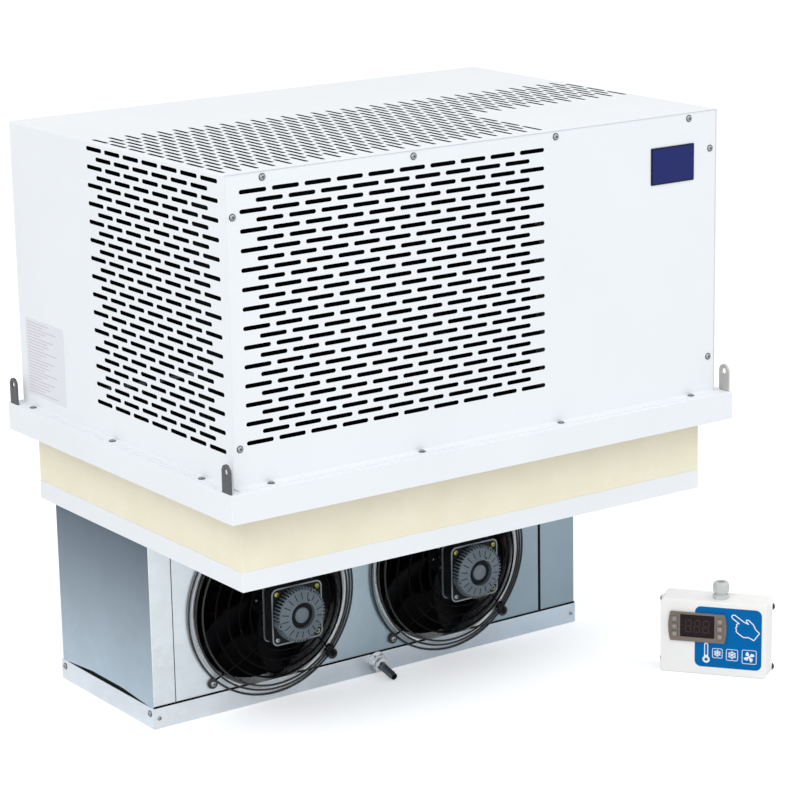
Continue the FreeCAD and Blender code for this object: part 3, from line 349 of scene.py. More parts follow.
@dataclass(frozen=True)
class Moulded(Finish):
    """Moulded plastic or rubber with a spark-eroded grain."""

    grain: float = 0.5
    depth: float = 0.03
    gloss: float = 0.5

    def shade(self, graph: Graph) -> None:
        """Leather-fine grain and a little variation."""
        grain = graph.noise(self.grain, 2.0)
        graph.give(Base_Color=graph.mix(graph.noise(35.0), self.tint(0.95), self.tint(1.04)),
                   Roughness=self.roughness + grain * 0.12, Specular_IOR_Level=self.gloss)
        graph.bump(grain, self.depth)


@dataclass(frozen=True)
class CutFoam(Finish):
    """Sawn rigid foam with cells and saw marks."""

    shadow: Colour = (0.8, 0.72, 0.5)

    def shade(self, graph: Graph) -> None:
        """Cells, saw marks and uneven yellowing."""
        cell = graph.cells(1.6, "Distance")
        saw = graph.noise(2.6, 2.0, (6.0, 6.0, 1.0))
        stain = graph.noise(70.0, 4.0)
        graph.give(Base_Color=graph.mix(stain * 0.6 + saw * 0.12, self.tint(1.04), self.shadow))
        graph.bump(cell * 0.6 + saw * 0.5, 0.25)


@dataclass(frozen=True)
class Print(Finish):
    """Printed plastic sheet or label stock, smooth with a soft sheen."""

    gloss: float = 0.25

    def shade(self, graph: Graph) -> None:
        """Faint mottle of the ink."""
        mottle = graph.noise(3.0, 3.0)
        graph.give(Base_Color=graph.mix(mottle, self.tint(0.94), self.tint(1.05)),
                   Roughness=self.roughness + mottle * 0.06, Specular_IOR_Level=self.gloss)
        graph.bump(graph.noise(18.0), 0.04)


@dataclass(frozen=True)
class FinStock(Finish):
    """Thin aluminium fins: darker towards their roots, with corrugations."""

    wave: float = 12.0

    def shade(self, graph: Graph) -> None:
        """Corrugation and dull patches."""
        wave = graph.noise(self.wave, 1.0, (30.0, 1.0, 1.0))
        graph.give(Base_Color=graph.mix(wave, self.tint(0.7), self.tint(1.1)), Metallic=0.7,
                   Roughness=self.roughness)
        graph.bump(wave, 0.2)


CASING_SIDE = 373.6
WHITE = PowderCoat("white_powder_coat", srgb(241, 245, 249), 0.42)
# Both zinc finishes carry painted shade and reflection: darker to the right along the front; ZINC
# is also darker up the sides, while the tray's sides stay even.
ZINC = Galvanized("galvanized_sheet", srgb(224, 232, 238), 0.34)
TRAY_ZINC = Galvanized("tray_sheet", srgb(222, 231, 240), 0.3, 18.0, (40.0, 40.0, 1.0),
                       ((0.0, (0.9, 0.94, 0.97)), (1.0, (0.65, 0.75, 0.85))),
                       ((0.0, (0.86, 0.91, 0.96)), (1.0, (0.86, 0.91, 0.96))))
COLLAR_ZINC = BareMetal("drawn_collar", srgb(232, 237, 241), 0.2, 0.85, 14.0)
# Painted shade: black for insides, rims and floors that show only shade.
PAINTED_SHADE_BLACK = Moulded("painted_inner_shade", srgb(16, 17, 19), 0.95, 3.0, 0.4, 0.1)
# Black: the clips' own plastic, and painted shade in the strips at gaps.
BLACK_CLIP_AND_GAP_SHADE = Moulded("black_clip_and_painted_gap_shade", srgb(11, 11, 13), 0.6, 1.0, 0.1, 0.15)
SCREW = BareMetal("zinc_plated_screw", srgb(172, 176, 180), 0.26)
YELLOW_SCREW = BareMetal("yellow_passivated_screw", srgb(186, 184, 96), 0.32)
# Painted shade in hollows: screw drives, the ring round each screw's seat, the motor's shoulder
# slots and the drain pipe's bore.
PAINTED_RECESS_SHADE = Enamel("painted_recess_shade", srgb(12, 12, 14), 0.6, 0.0, 0.15)
# One steel in two copies: painted shade on the left-hand lugs, painted light on the right-hand
# ones.
STEEL_IN_PAINTED_SHADE = BareMetal("painted_shade_lug", srgb(104, 106, 110), 0.3, 0.9)
STEEL_IN_PAINTED_LIGHT = BareMetal("painted_light_lug", srgb(200, 199, 194), 0.34, 0.8)
DARK_STEEL = BareMetal("dark_screw", srgb(62, 64, 67), 0.4, 0.8)
WIRE = Enamel("black_wire", srgb(6, 6, 8), 0.24, 0.0, 0.14)
INNER_WIRE = Enamel("inner_wire", srgb(6, 6, 8), 0.4, 0.0, 0.05)
BLADE = Enamel("fan_blade", srgb(5, 5, 7), 0.32, 0.0, 0.07)
MOTOR = Enamel("motor_shell", srgb(14, 15, 17), 0.4, 0.0, 0.2)
# Flange steel; as the thin ring round the front plate's edge it is a painted highlight.
MOTOR_EDGE = BareMetal("motor_flange", srgb(142, 148, 154), 0.3, 0.8)
CAP = BareMetal("cast_cap", srgb(112, 123, 131), 0.42, 0.45, 1.5)
# Painted shade in the cap's hollows: between its teeth, in its grooves and holes, and on its
# recess floor.
CAP_SHADE = Moulded("cap_painted_slot_shade", srgb(30, 33, 37), 0.7, gloss=0.2)
FOAM = CutFoam("cut_foam", srgb(248, 244, 224), 0.92)
FINS = FinStock("fin_stock", srgb(70, 74, 79), 0.5)
# Black coating, chosen also as painted shade for the dark inside of the housing.
BLACK_COAT_AND_SHADE = Enamel("black_coat_and_painted_shade", srgb(9, 9, 11), 0.6, 0.0, 0.1)
COPPER = BareMetal("drawn_copper", srgb(196, 118, 82), 0.28, 0.95, 2.0)
BRIGHT = BareMetal("bright_drain", srgb(222, 225, 228), 0.16)
TAPE = Print("sealing_tape", srgb(236, 240, 244), 0.3)
OUTLET = BareMetal("drain_outlet", srgb(120, 123, 127), 0.24)
BLACK_SHELL = Enamel("compressor_enamel", srgb(14, 15, 16), 0.25, 0.6)
RUBBER = Moulded("grommet_rubber", srgb(24, 24, 25), 0.85, 0.8)
DARK_PLASTIC = Moulded("dark_moulding", srgb(40, 42, 45), 0.5)
GLAND_GREY = Moulded("pale_gland", srgb(206, 208, 208), 0.42)
BOX = Moulded("box_moulding", srgb(253, 252, 249), 0.38)
BEZEL = Moulded("bezel_moulding", srgb(124, 113, 105), 0.48)
KEY = Moulded("key_moulding", srgb(134, 124, 116), 0.55)
KEY_MARK = Print("key_mark", srgb(196, 188, 180), 0.5)
SMOKED = Print("smoked_window", srgb(26, 12, 14), 0.1)
SEGMENT = Print("unlit_segment", srgb(64, 46, 46), 0.3)
LABEL_BLUE = Print("blue_label", srgb(0, 106, 176), 0.34, 0.06)
INK_WHITE = Print("white_ink", srgb(242, 246, 250), 0.4)
BADGE_BLUE = Print("badge_blue", srgb(24, 34, 104), 0.2)
# Painted shade round the badge's edge.
BADGE_EDGE_SHADE = Print("painted_badge_edge_shade", srgb(14, 18, 58), 0.25)
PAPER = Print("blank_plate", srgb(230, 233, 238), 0.4)
PAPER_LINE = Print("plate_line", srgb(205, 198, 208), 0.45)


# Mesh kit


def facing(origin: Sequence[float], out: Sequence[float],
           up: Sequence[float] = (0.0, 0.0, 1.0)) -> Matrix:
    """Place whose Z axis points out of a surface and whose Y axis is upright.

    Args:
        origin: Origin of the place in millimetres.
        out: Direction of its Z axis.
        up: Direction that its Y axis leans to.

    Returns:
        The place as a matrix.
    """
    z = Vector(out).normalized()
    side = Vector(up).cross(z)
    x = side.normalized() if side.length > 1e-6 else Vector((1.0, 0.0, 0.0))
    y = z.cross(x)
    turn = Matrix((x, y, z)).transposed().to_4x4()
    return Matrix.Translation(Vector(origin)) @ turn


def circle(radius: float, sides: int = 32, centre: Pair = (0.0, 0.0)) -> Loop:
    """Points of a circle, counter-clockwise."""
    steps = [math.tau * k / sides for k in range(sides)]
    return [(centre[0] + radius * math.cos(a), centre[1] + radius * math.sin(a)) for a in steps]


def rounded(low: Pair, high: Pair, radius: float, steps: int = 5) -> Loop:
    """Rectangle with rounded corners, counter-clockwise.

    Args:
        low: Lower left corner.
        high: Upper right corner.
        radius: Radius of the corners.
        steps: Segments in each corner.

    Returns:
        The outline.
    """
    centres = [(high[0] - radius, high[1] - radius), (low[0] + radius, high[1] - radius),
               (low[0] + radius, low[1] + radius), (high[0] - radius, low[1] + radius)]
    points = []
    for quarter, (x, y) in enumerate(centres):
        for k in range(steps + 1):
            angle = math.pi / 2 * (quarter + k / steps)
            points.append((x + radius * math.cos(angle), y + radius * math.sin(angle)))
    return points


def stadium(centre: Pair, length: float, width: float, upright: bool = False) -> Loop:
    """Slot outline with round ends."""
    long, short = (width, length) if upright else (length, width)
    low = (centre[0] - long / 2, centre[1] - short / 2)
    high = (centre[0] + long / 2, centre[1] + short / 2)
    return rounded(low, high, width / 2 - 0.01, 3)


def arc(start: float, end: float, radius: float, steps: int,
        centre: Pair = (0.0, 0.0)) -> Loop:
    """Points on an arc between two angles in degrees."""
    angles = [math.radians(start + (end - start) * k / steps) for k in range(steps + 1)]
    return [(centre[0] + radius * math.cos(a), centre[1] + radius * math.sin(a))
            for a in angles]


def punched(outline: Loop, holes: Sequence[Loop]) -> tuple[list[Pair], list[tuple[int, ...]]]:
    """Triangles of a flat outline with convex holes.

    Args:
        outline: Outer loop, counter-clockwise.
        holes: Loops of the holes.

    Returns:
        Points and triangles.
    """
    points: list[Vector] = []
    edges: list[tuple[int, int]] = []
    owner: list[int] = []
    for number, loop in enumerate([outline, *holes]):
        first = len(points)
        points += [Vector(p) for p in loop]
        owner += [number] * len(loop)
        edges += [(first + k, first + (k + 1) % len(loop)) for k in range(len(loop))]
    found, _, faces, sources, _, _ = delaunay_2d_cdt(points, edges, [], 1, 1e-5)
    of_point = [owner[source[0]] if source else 0 for source in sources]
    kept = [tuple(face) for face in faces
            if len({of_point[k] for k in face}) > 1 or of_point[face[0]] == 0]
    return [tuple(p) for p in found], kept


class Shape:
    """Faces of one piece, gathered in millimetres, each with the number of its finish."""

    def __init__(self) -> None:
        """Start empty."""
        self.points: list[Vector] = []
        self.faces: list[tuple[int, ...]] = []
        self.numbers: list[int] = []

    def add(self, points: Sequence[Sequence[float]], faces: Sequence[Sequence[int]],
            place: Matrix | None = None, finish: int = 0) -> "Shape":
        """Add points and faces.

        Args:
            points: Points in the place's own axes.
            faces: Faces as point numbers.
            place: Where they go.
            finish: Number of their finish.

        Returns:
            The shape itself.
        """
        first = len(self.points)
        where = place or Matrix.Identity(4)
        self.points += [where @ Vector(p) for p in points]
        self.faces += [tuple(first + k for k in face) for face in faces]
        self.numbers += [finish] * len(faces)
        return self

    def prism(self, outline: Loop, low: float, high: float, place: Matrix | None = None,
              finish: int = 0) -> "Shape":
        """Outline swept along the place's Z axis from low to high."""
        count = len(outline)
        points = [(x, y, low) for x, y in outline] + [(x, y, high) for x, y in outline]
        faces = [tuple(range(count - 1, -1, -1)), tuple(range(count, 2 * count))]
        for k in range(count):
            after = (k + 1) % count
            faces.append((k, after, count + after, count + k))
        return self.add(points, faces, place, finish)

    def box(self, low: Sequence[float], high: Sequence[float], place: Matrix | None = None,
            finish: int = 0) -> "Shape":
        """Block between two corners."""
        outline = [(low[0], low[1]), (high[0], low[1]), (high[0], high[1]), (low[0], high[1])]
        return self.prism(outline, low[2], high[2], place, finish)

    def lathe(self, profile: Loop, place: Matrix | None = None, sides: int = 32,
              finish: int = 0) -> "Shape":
        """Profile of radius and height turned about the place's Z axis.

        Args:
            profile: Radius and height pairs from foot to top.
            place: Where it stands.
            sides: Number of sides.
            finish: Number of the finish.

        Returns:
            The shape itself.
        """
        points, faces = [], []
        for radius, height in profile:
            points += [(x, y, height) for x, y in circle(max(radius, 1e-4), sides)]
        for row in range(len(profile) - 1):
            for k in range(sides):
                a, b = row * sides + k, row * sides + (k + 1) % sides
                faces.append((a, b, b + sides, a + sides))
        return self.add(points, faces, place, finish)

    def tube(self, path: Sequence[Sequence[float]], radius: float, sides: int = 8,
             closed: bool = False, finish: int = 0) -> "Shape":
        """Round wire or pipe along a path.

        Args:
            path: Points of its middle line.
            radius: Radius of the wire.
            sides: Sides of its section.
            closed: Whether the path is a ring.
            finish: Number of the finish.

        Returns:
            The shape itself.
        """
        line = [Vector(p) for p in path]
        count = len(line)
        points, faces = [], []
        side = None
        for k, here in enumerate(line):
            ahead = line[(k + 1) % count] if closed or k < count - 1 else here
            behind = line[k - 1] if closed or k > 0 else here
            way = (ahead - behind).normalized()
            if side is None:
                side = way.orthogonal()
            side = (side - way * side.dot(way)).normalized()
            other = way.cross(side)
            points += [here + side * x + other * y for x, y in circle(radius, sides)]
        for row in range(count if closed else count - 1):
            after = (row + 1) % count
            for k in range(sides):
                across = (k + 1) % sides
                faces.append((row * sides + k, row * sides + across,
                              after * sides + across, after * sides + k))
        if not closed:
            last = (count - 1) * sides
            faces += [tuple(range(sides - 1, -1, -1)), tuple(range(last, last + sides))]
        return self.add(points, faces, None, finish)

    def plate(self, outline: Loop, holes: Sequence[Loop], low: float, high: float,
              place: Matrix | None = None, finish: int = 0) -> "Shape":
        """Flat plate with holes right through it, from low to high on the place's Z axis."""
        flat, triangles = punched(outline, holes)
        count = len(flat)
        points = [(x, y, low) for x, y in flat] + [(x, y, high) for x, y in flat]
        faces = [tuple(reversed(face)) for face in triangles]
        faces += [tuple(count + k for k in face) for face in triangles]
        for a, b in rim_edges(triangles):
            faces.append((a, b, count + b, count + a))
        return self.add(points, faces, place, finish)

    def surface(self, rows: Sequence[Sequence[Vector]], finish: int = 0) -> "Shape":
        """Open skin through rows of points."""
        wide = len(rows[0])
        points = [p for row in rows for p in row]
        faces = [(r * wide + k, r * wide + k + 1, (r + 1) * wide + k + 1, (r + 1) * wide + k)
                 for r in range(len(rows) - 1) for k in range(wide - 1)]
        return self.add(points, faces, None, finish)


def rim_edges(triangles: Sequence[tuple[int, ...]]) -> list[tuple[int, int]]:
    """Edges that only one face uses, in that face's direction."""
    sides = [(face[k], face[(k + 1) % len(face)]) for face in triangles
             for k in range(len(face))]
    known = set(sides)
    return [(a, b) for a, b in sides if (b, a) not in known]


@dataclass
class Dressing:
    """How a piece is finished and softened at its edges."""

    finishes: Sequence[Finish]
    slot: str
    bevel: float = 0.0
    skin: float = 0.0
    crease: float = 35.0
    smooth: int = 0


def finish_piece(piece: bpy.types.Object, body: Body,
                 nodes: Sequence[str] = ()) -> bpy.types.Object:
    """Ride a piece on its body, and hide the nodes that it stands for."""
    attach(piece, body.value if isinstance(body, Body) else body)
    if nodes:
        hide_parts(*nodes)
    log.info("piece %s: %d faces on %s", piece.name, len(piece.data.polygons), body)
    return piece


def make_piece(name: str, shape: Shape, look: Dressing, body: Body | str = Body.UNIT,
               nodes: Sequence[str] = ()) -> bpy.types.Object:
    """Turn a shape into a piece of the scene.

    Args:
        name: Name of the piece.
        shape: Its faces.
        look: Its finishes and edges.
        body: Body that it rides on.
        nodes: Nodes that it stands for.

    Returns:
        The piece.
    """
    mesh = bpy.data.meshes.new(name)
    mesh.from_pydata([p * MM for p in shape.points], [], shape.faces)
    for finish in look.finishes:
        mesh.materials.append(finish.material())
    mesh.polygons.foreach_set("material_index", shape.numbers)
    mesh.validate()
    mesh.shade_smooth()
    mesh.set_sharp_from_angle(angle=math.radians(look.crease))
    piece = bpy.data.objects.new(name, mesh)
    bpy.context.scene.collection.objects.link(piece)
    soften(piece, look)
    return finish_piece(piece, body, nodes)


def soften(piece: bpy.types.Object, look: Dressing) -> None:
    """Add the skin thickness, rounded edges and subdivision of a look to a piece."""
    if look.skin:
        skin = piece.modifiers.new("skin", "SOLIDIFY")
        skin.thickness = look.skin * MM
        skin.offset = 0.0
    if look.bevel:
        bevel = piece.modifiers.new("edges", "BEVEL")
        bevel.width = look.bevel * MM
        bevel.segments = 3
        bevel.limit_method = "ANGLE"
        bevel.angle_limit = math.radians(look.crease)
        bevel.harden_normals = True
    if look.smooth:
        fine = piece.modifiers.new("smooth", "SUBSURF")
        fine.levels = fine.render_levels = look.smooth


def dress_node(name: str, finish: Finish, bevel: float = 0.6) -> None:
    """Give a node of the frame its finish and soft edges.

    Args:
        name: Name of the node.
        finish: Its finish.
        bevel: Width of its rounded edges in millimetres; none at zero.
    """
    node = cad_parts[name]
    node.data.materials.clear()
    node.data.materials.append(finish.material())
    weld = node.modifiers.new("weld", "WELD")
    weld.merge_threshold = 0.00002
    if bevel:
        edges = node.modifiers.new("edges", "BEVEL")
        edges.width = bevel * MM
        edges.segments = 2
        edges.limit_method = "ANGLE"
        edges.angle_limit = math.radians(40.0)
        edges.use_clamp_overlap = True
    normals = node.modifiers.new("normals", "WEIGHTED_NORMAL")
    normals.keep_sharp = True
    log.info("node %s: finish %s", name, finish.title)


@dataclass
class FoldedSheet:
    """Thin sheet folded along parallel lines, with slots punched in its flats.

    The corners run across the folds on the side that is seen, which lies to their left.
    """

    corners: Loop
    start: float
    end: float
    lift: Matrix
    sheet: float = 1.2
    inner_bend: float = 1.6
    border: float = 14.0
    holes: list[Loop] = field(default_factory=list)
    stations: list[tuple[float, Vector, Vector]] = field(default_factory=list)

    def __post_init__(self) -> None:
        """Unroll the profile into stations of reach, place and outward direction."""
        points = [Vector(p) for p in self.corners]
        ways = [(b - a).normalized() for a, b in zip(points, points[1:])]
        self.flat_start: list[float] = []
        self.trims: list[float] = [0.0]
        reach = 0.0
        self.stations.append((0.0, points[0], self._out(ways[0])))
        for k, way in enumerate(ways):
            self.flat_start.append(reach)
            after = ways[k + 1] if k + 1 < len(ways) else None
            trim, radius, swing = 0.0, 0.0, 0.0
            if after is not None:
                swing = math.atan2(way.x * after.y - way.y * after.x, way.dot(after))
                radius = self.inner_bend + (self.sheet if swing < 0 else 0.0)
                trim = radius * math.tan(abs(swing) / 2)
            here = points[k + 1] - way * trim
            reach += (points[k + 1] - points[k]).length - self.trims[-1] - trim
            self.trims.append(trim)
            self.stations.append((reach, here, self._out(way)))
            if after is None:
                continue
            turn = 1 if swing > 0 else -1
            centre = here + self._out(way) * radius * turn
            for step in range(1, 6):
                angle = swing * step / 5
                spoke = here - centre
                spoke.rotate(Matrix.Rotation(angle, 2))
                out = self._out(way)
                out.rotate(Matrix.Rotation(angle, 2))
                self.stations.append((reach + abs(angle) * radius, centre + spoke, out))
            reach += abs(swing) * radius

    @staticmethod
    def _out(way: Vector) -> Vector:
        """Direction to the left of a way, out of the side that is seen."""
        return Vector((-way.y, way.x))

    def reach_at(self, flat: int, along: float) -> float:
        """Unrolled reach of a point on a flat, given its distance from the flat's corner."""
        return self.flat_start[flat] + along - self.trims[flat]

    def at(self, reach: float) -> tuple[Vector, Vector]:
        """Place and outward direction at a reach."""
        index = bisect_right([s[0] for s in self.stations], reach) - 1
        index = max(0, min(index, len(self.stations) - 2))
        low, high = self.stations[index], self.stations[index + 1]
        share = (reach - low[0]) / max(high[0] - low[0], 1e-9)
        return low[1].lerp(high[1], share), low[2].lerp(high[2], share).normalized()

    def build(self, name: str, look: Dressing, nodes: Sequence[str]) -> bpy.types.Object:
        """Build the sheet with its true thickness and exact shading.

        Args:
            name: Name of the piece.
            look: Its outer finish, and the painted shade on its inner side and on the rims of its
                slots.
            nodes: Nodes that it stands for.

        Returns:
            The piece.
        """
        flat, triangles = self._triangles()
        rolled = [self.at(p[0]) for p in flat]
        outer = [self._lifted(place, p[1]) for (place, _), p in zip(rolled, flat)]
        inner = [self._lifted(place - out * self.sheet, p[1])
                 for (place, out), p in zip(rolled, flat)]
        turn = self.lift.to_3x3()
        outs = [(turn @ Vector((out.x, out.y, 0.0))).normalized() for _, out in rolled]
        count = len(flat)
        faces = [tuple(face) for face in triangles]
        normals = [outs[k] for face in faces for k in face]
        numbers = [0] * len(faces)
        # Finish 1 is painted shade: the inner side away from its border, and the rims of the
        # slots.
        near, far = self.start + self.border, self.end - self.border
        for face in triangles:
            faces.append(tuple(count + k for k in reversed(face)))
            normals += [-outs[k] for k in reversed(face)]
            spread = [flat[k][1] for k in face]
            numbers.append(int(max(spread) > near + 0.01 and min(spread) < far - 0.01))
        everything = outer + inner
        for a, b in rim_edges(triangles):
            face = (b, a, count + a, count + b)
            faces.append(face)
            edge = (everything[face[1]] - everything[face[0]])
            normals += [edge.cross(everything[face[2]] - everything[face[1]]).normalized()] * 4
            numbers.append(int(self._in_hole(flat[a]) and self._in_hole(flat[b])))
        mesh = bpy.data.meshes.new(name)
        mesh.from_pydata([p * MM for p in everything], [], faces)
        for finish in look.finishes:
            mesh.materials.append(finish.material())
        mesh.polygons.foreach_set("material_index", numbers)
        mesh.shade_smooth()
        mesh.normals_split_custom_set([tuple(n) for n in normals])
        piece = bpy.data.objects.new(name, mesh)
        bpy.context.scene.collection.objects.link(piece)
        return finish_piece(piece, Body.UNIT, nodes)

    def _in_hole(self, point: Pair) -> bool:
        """Whether a point of the unrolled sheet lies off its outer edges."""
        reach = self.stations[-1][0]
        return 0.01 < point[0] < reach - 0.01 and self.start < point[1] - 0.01 < self.end - 0.02

    def _lifted(self, place: Vector, along: float) -> Vector:
        """Point of the profile carried to its place in space."""
        return self.lift @ Vector((place.x, place.y, along))

    def _triangles(self) -> tuple[list[Pair], list[tuple[int, ...]]]:
        """Triangles of the unrolled sheet, with an edge along every line of a bend."""
        reaches = [s[0] for s in self.stations]
        outline = [(r, self.start) for r in reaches] + [(r, self.end) for r in reversed(reaches)]
        points = [Vector(p) for p in outline]
        last = len(outline)
        edges = [(k, (k + 1) % last) for k in range(last)]
        edges += [(k, last - 1 - k) for k in range(1, len(reaches) - 1)]
        for along in (self.start + self.border, self.end - self.border):
            edges.append((len(points), len(points) + 1))
            points += [Vector((reaches[0], along)), Vector((reaches[-1], along))]
        owner = [0] * len(points)
        for number, loop in enumerate(self.holes, 1):
            first = len(points)
            points += [Vector(p) for p in loop]
            owner += [number] * len(loop)
            edges += [(first + k, first + (k + 1) % len(loop)) for k in range(len(loop))]
        found, _, faces, sources, _, _ = delaunay_2d_cdt(points, edges, [], 1, 1e-5)
        of_point = [owner[source[0]] if source else 0 for source in sources]
        kept = []
        upright = self.lift.determinant() > 0
        for face in faces:
            owners = {of_point[k] for k in face}
            if len(owners) == 1 and of_point[face[0]]:
                continue
            a, b, c = (found[k] for k in face)
            clockwise = (b - a).cross(c - a) < 0
            kept.append(tuple(face) if clockwise == upright else tuple(reversed(face)))
        return [tuple(p) for p in found], kept


def stadium_run(centres: Sequence[Pair], length: float, width: float, upright: bool) -> list[Loop]:
    """Slots at a list of centres."""
    return [stadium(centre, length, width, upright) for centre in centres]


@dataclass(frozen=True)
class SlotPattern:
    """Staggered slots of the housing, the same on every side."""

    length: float = 40.8
    width: float = 5.8
    pitch: float = 49.0
    row_pitch: float = 12.5

    def row(self, start: float, count: int, odd: bool) -> list[float]:
        """Centres of one row's slots; an odd row is staggered and has one slot less."""
        first = start + self.length / 2 + (self.pitch / 2 if odd else 0.0)
        return [first + k * self.pitch for k in range(count - int(odd))]


@dataclass
class ScrewHead:
    """Head of a screw or rivet, with its washer flange and drive."""

    radius: float = 4.2
    height: float = 2.4
    drive: Drive = Drive.CROSS

    def add_to(self, shape: Shape, place: Matrix, metal: int = 0, dark: int = 1) -> None:
        """Add the head to a shape.

        Args:
            shape: Shape that gathers the heads.
            place: Seat of the head, with Z out of the sheet.
            metal: Number of the metal finish.
            dark: Number of the finish of the painted shade in the drive's recess and round the
                seat.
        """
        r, h = self.radius, self.height
        # Painted shade: a dark ring round the seat of a screw's head.
        if self.drive is not Drive.RIVET:
            shape.lathe([(r + 0.7, 0.0), (r + 0.6, 0.5), (r - 0.4, 0.6)], place, 24, dark)
        if self.drive is Drive.HEXAGON:
            shape.lathe([(r, 0.0), (r, h * 0.2), (r * 0.86, h * 0.32)], place, 24, metal)
            hexagon = circle(r * 0.84, 6)
            shape.prism(hexagon, h * 0.1, h * 0.92, place, metal)
            shape.lathe([(r * 0.6, h * 0.9), (r * 0.5, h), (0.0, h * 0.94)], place, 18, metal)
            return
        dome = [(r, 0.0), (r * 0.98, h * 0.3), (r * 0.85, h * 0.66), (r * 0.58, h * 0.92),
                (r * 0.2, h), (0.0, h)]
        shape.lathe(dome, place, 24, metal)
        if self.drive is Drive.CROSS:
            for arm in (0.0, math.pi / 2):
                turn = place @ Matrix.Rotation(arm + 0.4, 4, "Z")
                shape.box((-r * 0.5, -r * 0.1, h * 0.4), (r * 0.5, r * 0.1, h + 0.05), turn, dark)
        else:
            shape.lathe([(r * 0.3, h * 0.8), (r * 0.3, h + 0.06), (0.0, h + 0.02)], place, 12,
                        dark)


SCREW_FINISHES = (SCREW, PAINTED_RECESS_SHADE)


# The unit above the ceiling


